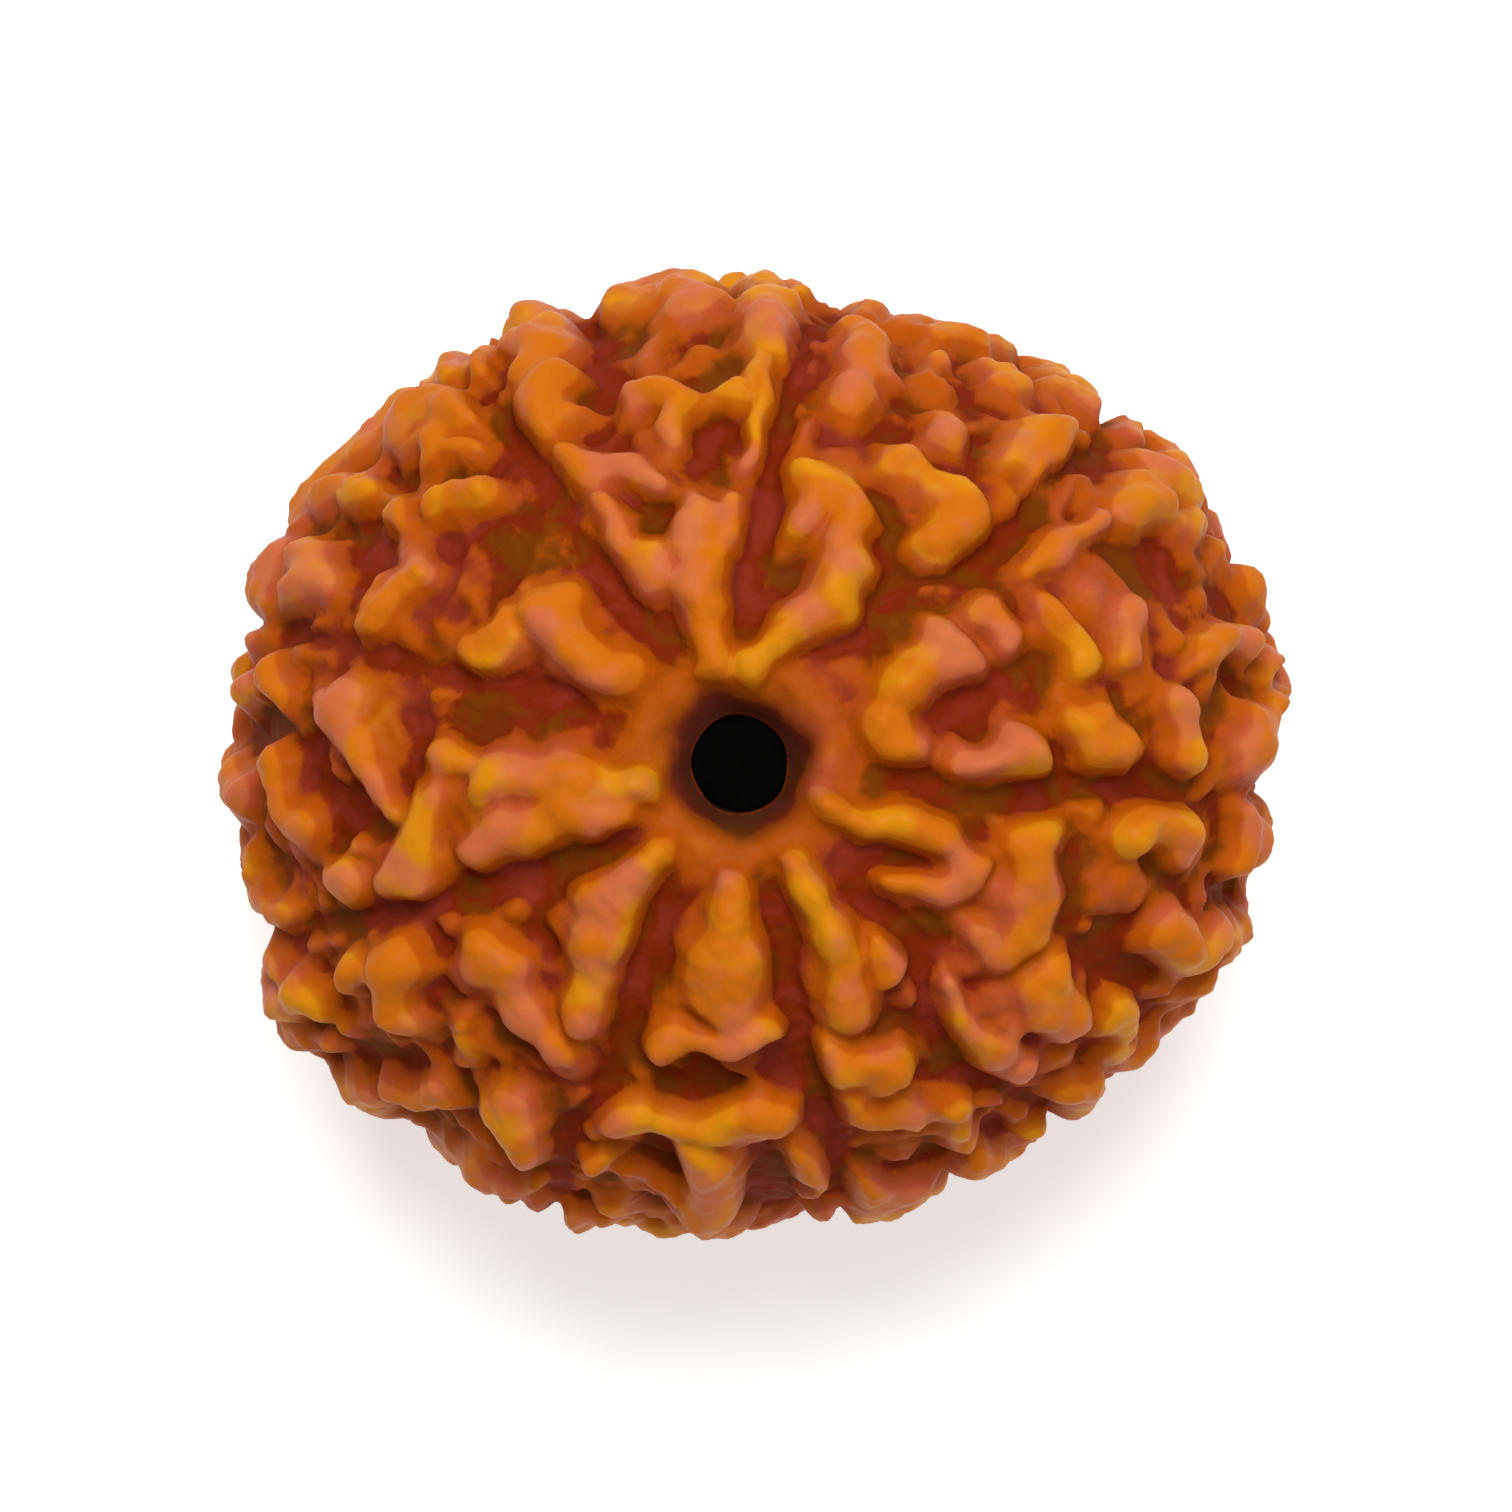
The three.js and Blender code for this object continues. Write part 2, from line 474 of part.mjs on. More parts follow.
// A gentle bending of space.
function swayed(p) {
  return new THREE.Vector3(
    p.x + SWAY * Math.sin(1.9 * p.y + 0.7 * p.z + 1) + FINE_SWAY * Math.sin(3.7 * p.z - 2.9 * p.y),
    p.y + SWAY * Math.sin(2.1 * p.x - 0.8 * p.z + 2) + FINE_SWAY * Math.sin(3.3 * p.x + 3.1 * p.z + 4),
    p.z + SWAY * Math.sin(1.7 * p.x + 1.5 * p.y + 3) + FINE_SWAY * Math.sin(3.5 * p.y - 2.7 * p.x + 1),
  );
}

// Low bumps that fill the valleys between the ridges.
function pebbling(p) {
  const a = Math.sin(2.9 * p.x + 1.4 * Math.sin(1.7 * p.y + p.z));
  const b = Math.sin(2.7 * p.y + 1.3 * Math.sin(1.9 * p.z + p.x) + 1);
  const c = Math.sin(2.8 * p.z + 1.2 * Math.sin(1.8 * p.x + p.y) + 2);
  return THREE.MathUtils.clamp(0.5 + 0.3 * (a * b + b * c + c * a), 0, 1);
}

// Where a ridge widens and thins, from about -1 to 1.
function unevenness(p) {
  const a = Math.sin(3.3 * p.x + 1.9 * Math.sin(2.3 * p.y - 1.1 * p.z) + 0.4);
  const b = Math.sin(3.1 * p.y + 1.8 * Math.sin(2.5 * p.z - 1.3 * p.x) + 2.2);
  const c = Math.sin(3.5 * p.z + 1.7 * Math.sin(2.1 * p.x - 1.2 * p.y) + 3.9);
  return (a + b + c) / 2;
}

const draws = new Draws(SEED);
const lines = mukhiPaths(draws);
const ridges = [...upperRidges(RIDGES, CREST), ...rimKnobs(), ...lowerRidges(draws)];
const hollows = upperRidges(HOLLOWS, 0);

// Height of the surface over a point of the core.
function relief(point) {
  const moved = swayed(point);
  const uneven = unevenness(point);
  const widen = WIDEN * (1 + WIDTH_CHANGE * uneven);
  const rise = RISE * (1 + HEIGHT_CHANGE * uneven);
  let height = PEBBLE_HEIGHT * pebbling(point);
  for (const { halfWidth, height: top, path } of ridges)
    height = smoothMax(height, rise * top * domed(distanceTo(path, moved) / (halfWidth * widen)), BLEND);
  for (const { halfWidth, height: depth, path } of hollows)
    height -= depth * flatTopped(distanceTo(path, moved) / halfWidth);
  const grooveHalf = GROOVE_HALF_WIDTH * (1 + GROOVE_CHANGE * uneven);
  let groove = 0;
  for (const path of lines) groove = Math.max(groove, flatTopped(distanceTo(path, point) / grooveHalf));
  height -= groove * (GROOVE_CUT * Math.max(height, 0) + GROOVE_DEPTH);
  const fromHole = Math.hypot(point.x, point.y) * (1 + MOUTH_CHANGE * uneven);
  height = smoothMax(height, COLLAR_HEIGHT / (1 + (fromHole / COLLAR_RADIUS) ** COLLAR_FALL), BLEND);
  return height - MOUTH_DIP / (1 + (fromHole / MOUTH_RADIUS) ** MOUTH_FALL);
}

// The core's outward direction at a point on it.
function outward(point) {
  const angle = Math.atan2(point.y, point.x);
  const edge = outline(angle);
  const flat = Math.hypot(point.x, point.y);
  const rise = Math.sign(point.z) * (Math.abs(point.z) / HALF_HEIGHT) ** (ROUNDNESS - 1) / HALF_HEIGHT;
  const spread = (flat / edge) ** (ROUNDNESS - 1) / edge;
  return new THREE.Vector3(spread * Math.cos(angle), spread * Math.sin(angle), rise).normalize();
}

function merged(geometry) {
  geometry.deleteAttribute("normal");
  geometry.deleteAttribute("uv");
  return mergeVertices(geometry, MERGED_WITHIN);
}

function solidOf(geometry) {
  return new wasm.Manifold(
    new wasm.Mesh({
      numProp: 3,
      vertProperties: geometry.attributes.position.array,
      triVerts: new Uint32Array(geometry.index.array),
    }),
  );
}

// Any direction along the surface.
const sideways = (way) => new THREE.Vector3(way.z, way.x, way.y).cross(way).normalize();

// Moves a point along the core to the crest or valley floor beside it, if one is near, so that the
// facets' edges run along the ridges.
function settle(point) {
  const way = outward(point);
  const across = sideways(way);
  const other = way.clone().cross(across);
  const at = (side, step) => relief(point.clone().addScaledVector(side, step));
  const slope = (side) => (at(side, SETTLE_STEP) - at(side, -SETTLE_STEP)) / (2 * SETTLE_STEP);
  const steepest = across.multiplyScalar(slope(across)).addScaledVector(other, slope(other));
  const steepness = steepest.length();
  if (steepness < FLAT_SLOPE) return;
  steepest.divideScalar(steepness);
  const ahead = at(steepest, SETTLE_STEP);
  const behind = at(steepest, -SETTLE_STEP);
  const bend = (ahead + behind - 2 * relief(point)) / SETTLE_STEP ** 2;
  const move = -steepness / bend;
  if (Math.abs(move) < SETTLE_REACH) point.addScaledVector(steepest, SETTLE_SHARE * move);
}

// The relief averaged over about one facet, so that ridges finer than a facet come out even.
function evenRelief(point, way) {
  const aside = sideways(way);
  let total = relief(point);
  for (let k = 0; k < EVEN_POINTS; k++) {
    aside.applyAxisAngle(way, FULL_TURN / EVEN_POINTS);
    total += relief(point.clone().addScaledVector(aside, EVEN_REACH));
  }
  return total / (EVEN_POINTS + 1);
}

// The stone without its hole, its middle at the origin.
function bead() {
  const geometry = merged(new THREE.IcosahedronGeometry(1, FACETS));
  const places = geometry.attributes.position;
  const way = new THREE.Vector3();
  for (let i = 0; i < places.count; i++) {
    way.fromBufferAttribute(places, i).normalize();
    const point = around(Math.atan2(way.y, way.x), Math.acos(THREE.MathUtils.clamp(way.z, -1, 1)));
    settle(point);
    const out = outward(point);
    point.addScaledVector(out, evenRelief(point, out));
    places.setXYZ(i, point.x, point.y, point.z);
  }
  return solidOf(geometry);
}

// What the hole leaves out, past both mouths.
function bore() {
  const reach = 2 * (FOOT_DROP + CLEARANCE);
  const tube = new THREE.CylinderGeometry(BORE_RADIUS, BORE_RADIUS, reach, BORE_SIDES);
  return solidOf(merged(tube.rotateX(Math.PI / 2)));
}

// Everything below the flat that the bead rests on.
function belowFoot() {
  const reach = 2 * (HALF_LENGTH + CLEARANCE);
  const block = new THREE.BoxGeometry(reach, reach, reach);
  return solidOf(merged(block.translate(0, 0, -FOOT_DROP - reach / 2)));
}

const wasm = await Module();
wasm.setup();

const stone = bead().subtract(bore()).subtract(belowFoot()).getMesh();
const geometry = new THREE.BufferGeometry();
geometry.setAttribute("position", new THREE.BufferAttribute(stone.vertProperties, 3));
geometry.setIndex(new THREE.BufferAttribute(stone.triVerts, 1));
geometry.computeVertexNormals();

const shell = new THREE.MeshStandardMaterial({ color: 0xb5531a, roughness: 0.5, metalness: 0 });
const rudraksha = new THREE.Mesh(geometry, shell);
rudraksha.name = "rudraksha_bead";
rudraksha.position.set(HOLE_X, HOLE_Y, FOOT_DROP);

const object = new THREE.Group();
object.add(rudraksha);
export default object;
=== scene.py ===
"""A nine mukhi rudraksha bead seen straight down its natural hole, on a pale floor in soft light."""

import math

import bmesh
import bpy
import numpy as np
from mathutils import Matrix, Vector


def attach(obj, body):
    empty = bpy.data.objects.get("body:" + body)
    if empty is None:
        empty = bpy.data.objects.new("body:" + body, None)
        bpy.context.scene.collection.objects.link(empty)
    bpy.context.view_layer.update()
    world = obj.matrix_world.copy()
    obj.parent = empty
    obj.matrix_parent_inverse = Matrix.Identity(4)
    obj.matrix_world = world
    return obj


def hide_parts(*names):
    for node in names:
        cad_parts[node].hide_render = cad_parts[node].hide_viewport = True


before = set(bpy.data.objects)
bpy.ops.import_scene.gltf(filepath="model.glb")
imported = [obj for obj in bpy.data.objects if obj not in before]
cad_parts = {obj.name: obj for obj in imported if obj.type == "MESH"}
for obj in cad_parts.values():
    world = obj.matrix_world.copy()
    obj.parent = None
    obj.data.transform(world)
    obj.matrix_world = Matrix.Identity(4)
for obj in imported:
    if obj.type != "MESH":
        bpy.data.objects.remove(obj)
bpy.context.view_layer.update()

MM = 0.001
FULL_TURN = 2 * math.pi
NODE = "rudraksha_bead"

# The bead's form, in millimetres, from the middle of its core on the axis of its hole.
HALF_LENGTH = 12.35
HALF_WIDTH = 11.1
HALF_HEIGHT = 9.1
ROUNDNESS = 2.2  # 2 is an ellipsoid, and more is squarer at the shoulder
CREST = 0.75  # how far the middle of a ridge's visible face stands out from the core
SHADE_SHIFT = -0.3  # in y, from a ridge's bright side, or a hollow's dark side, to its middle
RISE = 1.2  # the height of a ridge of height 1 in the lists below
WIDEN = 1.14  # how much wider each ridge is than its half width in the lists
HOLE = (-0.4, -0.2)  # the hole's axis, off the middle of the bead's length and width
FOOT_DROP = 9.65  # the flat that the bead rests on, below the middle of the core
BORE_RADIUS = 1.2
BORE_SIDES = 96
BORE_RINGS = 40
BORE_WAVES = (0.02, 0.015)  # the shares by which the hole's wall is out of round
CUTTER_BELOW = 1  # how far the tube that cuts the hole reaches past the foot
CUTTER_ABOVE = 3  # and past the core at the top
MOUTH_RADIUS = 1.6  # where the dip at each mouth is half its depth
MOUTH_DIP = 1.9
MOUTH_FALL = 6
MOUTH_CHANGE = 0.07  # the share by which it is out of round
COLLAR_RADIUS = 2.7  # the smooth disc round each mouth, where the ribs run together
COLLAR_HEIGHT = 0.9
COLLAR_FALL = 5
GROOVE_HALF_WIDTH = 0.3  # of a mukhi line
GROOVE_DEPTH = 0.25
GROOVE_CUT = 0.5  # the share of a ridge's height that a line takes away
GROOVE_CHANGE = 0.4  # the share by which a line widens and thins along its way
HOLLOW_ROUND = 4  # how flat the floor of a line or hollow is, and how steep its sides
PEBBLE_HEIGHT = 0.5  # of the low bumps in the valleys
WIDTH_CHANGE = 0.15  # the share by which a ridge widens and thins along its way
HEIGHT_CHANGE = 0.1
BUMP_HEIGHT = 0.08  # of the small bumps all over
CREST_CALM = 0.7  # the share of them that a crest lacks
BLEND = 0.22  # how softly one ridge runs into the next
DIVISIONS = 96  # of each edge of the icosahedron that the surface is drawn on
GRAIN_HEIGHT = 0.04  # of the finest bumps that the mesh holds
MERGED_DECIMALS = 6  # of a unit direction, to join the sides of the icosahedron

# Where the core swells or draws in: middle angle and spread in degrees, and how far.
SWELLS = [
    [27, 13, 0.2],
    [66, 14, -0.4],
    [140, 12, -0.25],
    [214, 12, 0.75],
    [244, 9, 0.8],
    [301, 15, -0.5],
    [324, 11, -0.45],
    [352, 8, -0.3],
]

# The nine lines from the upper mouth to the rim, as x, y of each point seen from above.
MUKHI_LINES = [
    [-1.7, 2.3, -2.9, 3.4, -4.3, 5.2, -5.1, 6.8, -6.3, 8.2, -6.6, 9.6, -6.7, 10.6],
    [-0.4, 3.0, 0.0, 4.6, 0.3, 6.6, 0.7, 8.2, 1.1, 9.8, 1.5, 11.6],
    [1.2, 2.2, 2.6, 2.9, 3.3, 4.1, 4.6, 4.3, 6.2, 5.3, 7.0, 6.6, 8.2, 7.3, 8.8, 8.7],
    [2.0, -0.3, 3.6, -0.5, 5.0, -0.9, 7.4, -0.7, 9.8, -0.7, 12.6, -0.5],
    [1.9, -2.0, 2.9, -3.6, 4.0, -4.6, 4.1, -6.3, 4.7, -7.5, 6.0, -8.1, 7.3, -8.4, 7.6, -9.5],
    [0.3, -2.9, 0.6, -4.2, 0.9, -6.2, 1.2, -7.3, 1.6, -8.6, 1.9, -9.9, 2.1, -11.7],
    [-1.9, -3.0, -2.5, -4.4, -3.0, -6.2, -3.4, -7.6, -4.7, -9.2, -4.9, -10.4, -5.0, -11.5],
    [-3.0, -1.9, -4.8, -2.7, -6.3, -3.2, -8.2, -3.7, -10.2, -4.0, -12.2, -4.5],
    [-3.0, 0.9, -4.9, 1.5, -6.8, 1.8, -8.8, 2.4, -10.9, 2.9, -12.5, 3.2],
]

# The ridges of the upper half, as [half width, height, then x, y of each point along the crest].
RIDGES = [
    # Between lines 1 and 2
    [0.62, 1.00, -1.2, 2.6, -1.2, 4.0, -1.5, 5.3, -1.1, 6.2],
    [0.42, 0.85, -0.7, 5.8, -0.6, 6.7],
    [0.48, 0.85, -2.4, 4.8, -3.1, 5.5, -3.6, 6.6],
    [0.45, 0.90, -4.6, 7.7, -3.7, 7.4, -2.6, 7.1],
    [0.80, 1.25, -5.5, 10.8, -5.3, 9.8, -5.2, 8.8],
    [0.48, 1.50, -6.7, 10.5, -6.6, 9.5],
    [0.48, 1.00, -3.1, 9.2, -1.9, 9.2, -0.6, 9.2],
    [0.42, 0.90, -1.8, 9.0, -2.1, 8.3],
    [0.85, 1.10, -3.3, 11.3, -2.3, 11.6, -1.5, 11.3],
    [0.32, 0.35, -2.9, 10.1, -1.3, 10.1],
    [0.40, 0.50, -0.8, 11.5, -0.7, 10.8],
    # Between lines 2 and 3
    [0.58, 0.95, -0.1, 2.6, 1.0, 3.5, 2.0, 4.3],
    [0.68, 1.05, 2.0, 4.3, 2.1, 5.6, 2.0, 7.0],
    [0.50, 0.95, 1.3, 7.3, 1.3, 6.0],
    [0.60, 0.95, 3.7, 7.6, 4.7, 6.9, 5.3, 6.3],
    [0.62, 1.05, 5.2, 6.2, 4.6, 5.6],
    [0.40, 0.80, 4.6, 5.5, 4.2, 4.9],
    [0.45, 0.95, 4.8, 8.6, 4.7, 8.0],
    [0.75, 1.00, 2.7, 10.6, 2.3, 9.4],
    [0.40, 0.75, 4.4, 10.0, 4.4, 9.6],
    [0.60, 0.95, 4.4, 10.5, 5.3, 10.4, 6.2, 10.2],
    [0.55, 0.85, 6.1, 9.7, 6.8, 8.7],
    [0.82, 1.10, 7.2, 8.2, 7.2, 7.5],
    [0.50, 0.50, 6.2, 7.0, 6.6, 6.1],
    [0.60, 0.75, 7.4, 9.4, 8.1, 9.1],
    [0.75, 1.15, 0.4, 11.3, 0.5, 10.5],
    [0.36, 0.85, 0.1, 10.2, 0.1, 8.8, -0.1, 7.7],
    [0.40, 0.50, 0.8, 7.6, 1.2, 8.6],
    # Between lines 3 and 4
    [0.62, 1.00, 3.6, 0.4, 3.3, 1.4, 4.1, 2.3, 5.1, 2.9],
    [0.75, 1.05, 5.7, -0.1, 6.4, 0.4, 6.8, 0.3],
    [0.45, 0.75, 5.7, 3.9, 6.3, 3.3],
    [0.55, 0.90, 7.4, 3.8, 8.2, 2.6],
    [0.65, 0.80, 9.2, 3.7, 9.4, 2.9],
    [0.65, 1.00, 8.4, 1.1, 8.8, 0.4],
    [0.50, 0.95, 10.7, 1.5, 10.8, 0.2],
    [0.50, 0.90, 11.2, 2.9, 12.2, 3.2],
    [0.80, 0.95, 12.7, 1.4, 12.4, 0.3],
    [0.42, 0.90, 6.8, 5.0, 7.6, 5.6, 8.5, 6.1],
    [0.50, 0.90, 12.3, 4.4, 12.6, 3.7],
    [0.45, 0.70, 10.5, 5.8, 10.9, 5.4],
    [0.80, 1.10, 9.3, 6.5, 10.1, 7.0],
    [0.55, 0.80, 10.5, 6.1, 11.0, 6.0],
    [0.60, 0.85, 10.0, 8.2, 11.0, 7.3],
    [0.40, 0.45, 7.8, 1.9, 8.6, 1.8],
    [0.40, 0.45, 9.6, 2.0, 10.2, 2.2],
    [0.60, 0.65, 8.3, 4.3, 8.9, 3.5],
    # Between lines 4 and 5
    [0.50, 0.95, 1.9, -1.0, 3.6, -1.3, 4.8, -1.8, 5.4, -2.5],
    [0.45, 0.85, 3.1, -2.9, 4.5, -3.1, 5.3, -2.7],
    [0.74, 1.00, 7.0, -1.9, 7.0, -3.0, 6.8, -4.2],
    [0.45, 0.75, 6.1, -3.0, 6.2, -3.4],
    [0.75, 1.15, 7.2, -5.5, 7.5, -6.2],
    [0.50, 0.80, 5.7, -4.2, 6.3, -4.8],
    [0.50, 0.80, 4.8, -5.5, 5.3, -6.6, 6.0, -7.1],
    [0.50, 0.80, 6.0, -7.2, 6.9, -7.6],
    [0.60, 0.70, 6.2, -5.9, 6.4, -6.7],
    [0.55, 1.05, 9.3, -1.6, 10.6, -1.6],
    [0.40, 0.80, 10.6, -1.8, 10.6, -2.2],
    [0.55, 0.60, 9.4, -2.7, 9.6, -3.4],
    [0.75, 0.95, 10.3, -4.3, 11.5, -4.5],
    [0.50, 0.90, 12.3, -1.3, 12.1, -2.5],
    [0.60, 0.85, 9.1, -6.2, 9.4, -6.7],
    [0.50, 0.75, 9.2, -7.2, 10.0, -7.1],
    [0.50, 0.50, 10.9, -6.5, 11.3, -6.1],
    [0.60, 0.85, 7.9, -8.4, 8.6, -8.1],
    [0.40, 0.45, 8.6, -1.2, 8.9, -3.3],
    [0.33, 0.70, 6.0, -8.6, 6.4, -8.6],
    # Between lines 5 and 6
    [0.60, 0.95, 0.9, -2.6, 1.6, -3.5, 2.1, -4.8, 2.4, -6.2],
    [0.38, 0.85, 3.0, -4.4, 3.3, -5.3],
    [0.58, 1.05, 2.2, -7.5, 3.4, -7.5],
    [0.45, 0.80, 2.6, -7.9, 2.5, -8.8],
    [0.55, 0.85, 2.9, -8.8, 4.2, -8.7, 5.0, -8.7],
    [0.45, 0.75, 5.0, -8.8, 5.3, -9.9],
    [0.45, 0.80, 1.3, -9.9, 1.5, -11.0],
    [0.75, 0.85, 3.1, -10.6, 3.7, -10.9],
    [0.50, 0.60, 5.5, -10.3, 6.4, -9.8],
    # Between lines 6 and 7
    [0.55, 0.95, -0.6, -2.9, -0.8, -4.3],
    [0.95, 1.00, -0.8, -4.8, -0.9, -6.0],
    [0.45, 0.95, -2.3, -7.0, -0.8, -6.9, 0.4, -6.6],
    [0.60, 0.95, -3.3, -9.0, -1.4, -9.0, 0.6, -8.9],
    [0.45, 0.75, -0.8, -9.5, 0.3, -9.2],
    [0.75, 1.10, -1.2, -9.8, -1.2, -11.5],
    [0.42, 0.90, -3.2, -10.3, -2.2, -11.0],
    [0.45, 0.70, -4.4, -11.4, -3.6, -11.7],
    [0.45, 0.60, -4.2, -8.7, -4.0, -9.4],
    [0.45, 1.00, -4.0, -10.2, -3.2, -10.3],
    # Between lines 7 and 8
    [0.62, 1.00, -2.7, -2.3, -3.6, -3.6, -4.1, -4.8, -4.5, -6.2],
    [0.62, 0.95, -6.9, -4.5, -6.4, -5.2, -5.5, -6.4, -5.2, -6.7],
    [0.75, 1.15, -9.1, -4.9, -9.1, -6.0],
    [0.48, 0.95, -10.2, -5.2, -9.4, -5.3],
    [0.60, 1.00, -12.1, -5.6, -11.4, -5.7],
    [0.60, 0.75, -11.9, -6.5, -10.9, -7.3],
    [0.40, 0.65, -7.4, -6.5, -7.3, -7.6],
    [0.68, 0.85, -9.3, -8.3, -8.1, -8.3],
    [0.50, 0.70, -9.0, -9.1, -7.8, -9.7],
    [0.82, 0.95, -6.2, -8.5, -5.9, -9.6],
    [0.50, 0.75, -6.7, -10.6, -5.5, -11.0],
    # Between lines 8 and 9
    [0.68, 1.00, -3.0, -0.4, -4.6, -0.1, -6.6, -0.2],
    [0.72, 1.00, -3.4, -1.2, -5.0, -1.2, -6.5, -1.7],
    [0.50, 0.85, -7.9, 0.4, -7.4, 0.3],
    [0.60, 0.65, -7.7, -0.4, -6.9, -0.9],
    [0.75, 0.95, -10.5, 1.6, -10.0, 0.7],
    [0.55, 0.85, -12.1, 2.4, -12.0, 1.9],
    [0.50, 0.70, -13.1, 1.4, -13.2, -0.6],
    [0.60, 0.85, -12.1, 0.0, -11.9, -0.9, -11.3, -1.4],
    [0.38, 0.80, -9.8, 0.2, -9.4, -0.5, -9.1, -1.1],
    [0.68, 0.90, -8.1, -1.1, -8.5, -2.0, -9.0, -2.8],
    [0.58, 0.85, -10.4, -2.8, -10.2, -3.0],
    [0.30, 0.60, -10.1, -1.9, -10.1, -2.0],
    [0.50, 0.80, -12.7, -2.1, -12.6, -3.2, -11.9, -3.7],
    [0.40, 0.50, -7.5, -0.9, -7.6, -1.6],
    [0.22, 0.50, -8.1, 1.9, -7.2, 1.7, -6.2, 1.7],
    # Between lines 9 and 1
    [0.80, 1.10, -3.8, 2.3, -4.6, 3.1, -5.2, 3.9],
    [0.40, 0.75, -5.4, 4.2, -5.7, 4.5],
    [0.62, 0.90, -6.8, 2.7, -6.3, 3.4],
    [0.48, 0.85, -9.8, 3.4, -9.1, 4.2, -8.3, 4.9],
    [0.85, 1.10, -12.0, 4.6, -10.8, 4.9],
    [1.10, 1.12, -11.2, 6.4, -10.2, 7.6, -8.9, 8.4],
    [0.90, 1.00, -9.8, 6.8, -9.1, 7.5, -8.0, 8.0],
    [0.85, 1.25, -8.4, 8.4, -6.9, 8.8],
    [0.68, 1.20, -7.5, 10.3, -7.3, 9.5],
    [0.50, 1.05, -7.9, 6.5, -7.4, 6.75, -6.8, 6.9],
    [0.50, 0.75, -9.2, 7.0, -8.8, 6.0, -8.5, 5.2],
    [0.40, 0.95, -7.9, 7.9, -6.9, 7.8],
    [0.50, 0.55, -10.5, 6.2, -10.9, 5.6],
]

# Pits and slits between them, as [half width, depth, then x, y of each point].
HOLLOWS = [
    [0.65, 0.75, -9.8, 5.6, -9.5, 5.0],
    [0.60, 0.30, -7.3, 5.3, -6.1, 4.9],
    [0.42, 0.85, -8.6, 6.9, -8.1, 6.9],
    [0.50, 0.50, -5.8, 6.6, -5.6, 5.6],
    [0.25, 0.45, -7.8, 7.15, -6.3, 7.2],
    [0.28, 0.60, 2.7, -2.15, 4.2, -2.3],
    [0.50, 0.60, 5.2, 1.6, 5.3, 1.0],
    [0.50, 0.60, -10.2, -7.2, -8.4, -7.2],
    [0.38, 0.70, -2.2, -8.0, -0.9, -7.7, 0.9, -7.5],
    [0.30, 0.60, 11.5, 2.0, 12.4, 2.2],
    [0.62, 0.70, 8.4, -4.2, 9.4, -5.1],
    [0.40, 0.50, 10.5, -5.5, 10.7, -5.9],
    [0.35, 0.85, 2.4, -9.7, 4.4, -9.6],
    [0.38, 0.80, 5.8, -9.0, 6.7, -9.0],
    [0.35, 0.90, -3.3, -9.6, -2.0, -9.8],
    [0.38, 0.90, -4.6, -10.7, -3.1, -10.8, -2.7, -11.6],
    [0.50, 0.50, -1.2, 7.6, -0.8, 8.2],
    [0.52, 0.85, -4.0, 10.3, -3.9, 9.6, -3.8, 8.7],
    [0.70, 0.50, 9.2, 5.0, 10.2, 4.9],
    [0.45, 0.55, 11.2, 4.9, 11.3, 4.0],
    [0.48, 0.90, 0.2, -10.0, 0.6, -11.2],
    [0.45, 0.50, 5.8, 8.5, 5.9, 7.9],
    [0.40, 0.50, -5.2, 1.7, -7.0, 1.6],
    [0.30, 0.50, -8.3, 1.1, -6.4, 1.0],
    [0.30, 0.50, 5.3, -0.75, 6.9, -0.75],
    [0.40, 0.50, -6.8, -2.8, -5.2, -2.8],
    [0.40, 0.40, 6.9, -8.5, 7.3, -8.3],
    [0.50, 0.75, -12.4, 1.2, -11.6, 1.0],
    [0.48, 0.85, -10.8, 0.1, -10.4, -0.7, -9.9, -1.3],
    [0.40, 0.50, 11.1, -2.9, 12.0, -3.1],
    [0.40, 0.40, -3.1, 6.3, -2.4, 6.0],
]

# Knobs on the rim, as [angle in degrees, half width, height, slant, half length down the side].
RIM_KNOBS = [
    [9, 0.85, 1.05, 0.1, 1.2],
    [20, 0.65, 0.9, -0.3, 0.9],
    [33, 0.75, 0.95, 0.2, 1.1],
    [42, 0.5, 0.8, 0.1, 0.9],
    [49, 0.7, 0.8, 0.5, 1.0],
    [66, 0.8, 0.75, -0.5, 1.0],
    [74, 0.5, 0.7, 0.1, 0.8],
    [83, 0.5, 0.9, 0.0, 0.9],
    [88, 0.65, 0.85, 0.0, 1.2],
    [99, 0.8, 0.9, 0.3, 1.1],
    [104, 0.6, 0.8, -0.4, 0.8],
    [114, 0.7, 0.75, 0.0, 1.3],
    [129, 0.75, 0.9, -0.2, 1.0],
    [138, 0.6, 0.6, 0.3, 0.8],
    [147, 0.75, 1.0, 0.1, 1.1],
    [160, 0.85, 1.0, -0.4, 1.0],
    [173, 0.7, 0.9, 0.2, 1.1],
    [182, 0.75, 0.95, 0.0, 1.0],
    [193, 0.7, 0.65, -0.2, 1.2],
    [205, 0.7, 0.95, 0.3, 1.0],
    [212, 0.6, 0.85, -0.1, 0.8],
    [221, 0.75, 0.9, 0.2, 1.1],
    [235, 0.75, 0.8, -0.3, 1.0],
    [249, 0.65, 0.95, 0.1, 0.9],
    [257, 0.75, 0.9, 0.4, 1.1],
    [267, 0.7, 0.9, -0.1, 0.9],
    [284, 0.6, 0.95, 0.2, 1.0],
    [288, 0.8, 0.9, -0.2, 1.1],
    [294, 0.6, 0.85, 0.1, 0.9],
    [302, 0.7, 0.95, 0.2, 0.9],
    [308, 0.5, 0.9, 0.1, 0.9],
    [313, 0.75, 0.9, -0.3, 1.2],
    [325, 0.7, 0.8, 0.3, 1.0],
    [333, 0.65, 0.85, -0.1, 0.9],
    [341, 0.75, 0.8, 0.2, 1.1],
    [352, 0.65, 0.9, 0.0, 1.0],
]
RIM_POLAR = 86  # degrees from the top
RIM_LONGER = 0.6  # what is added to each half length, to close up with the ridges above

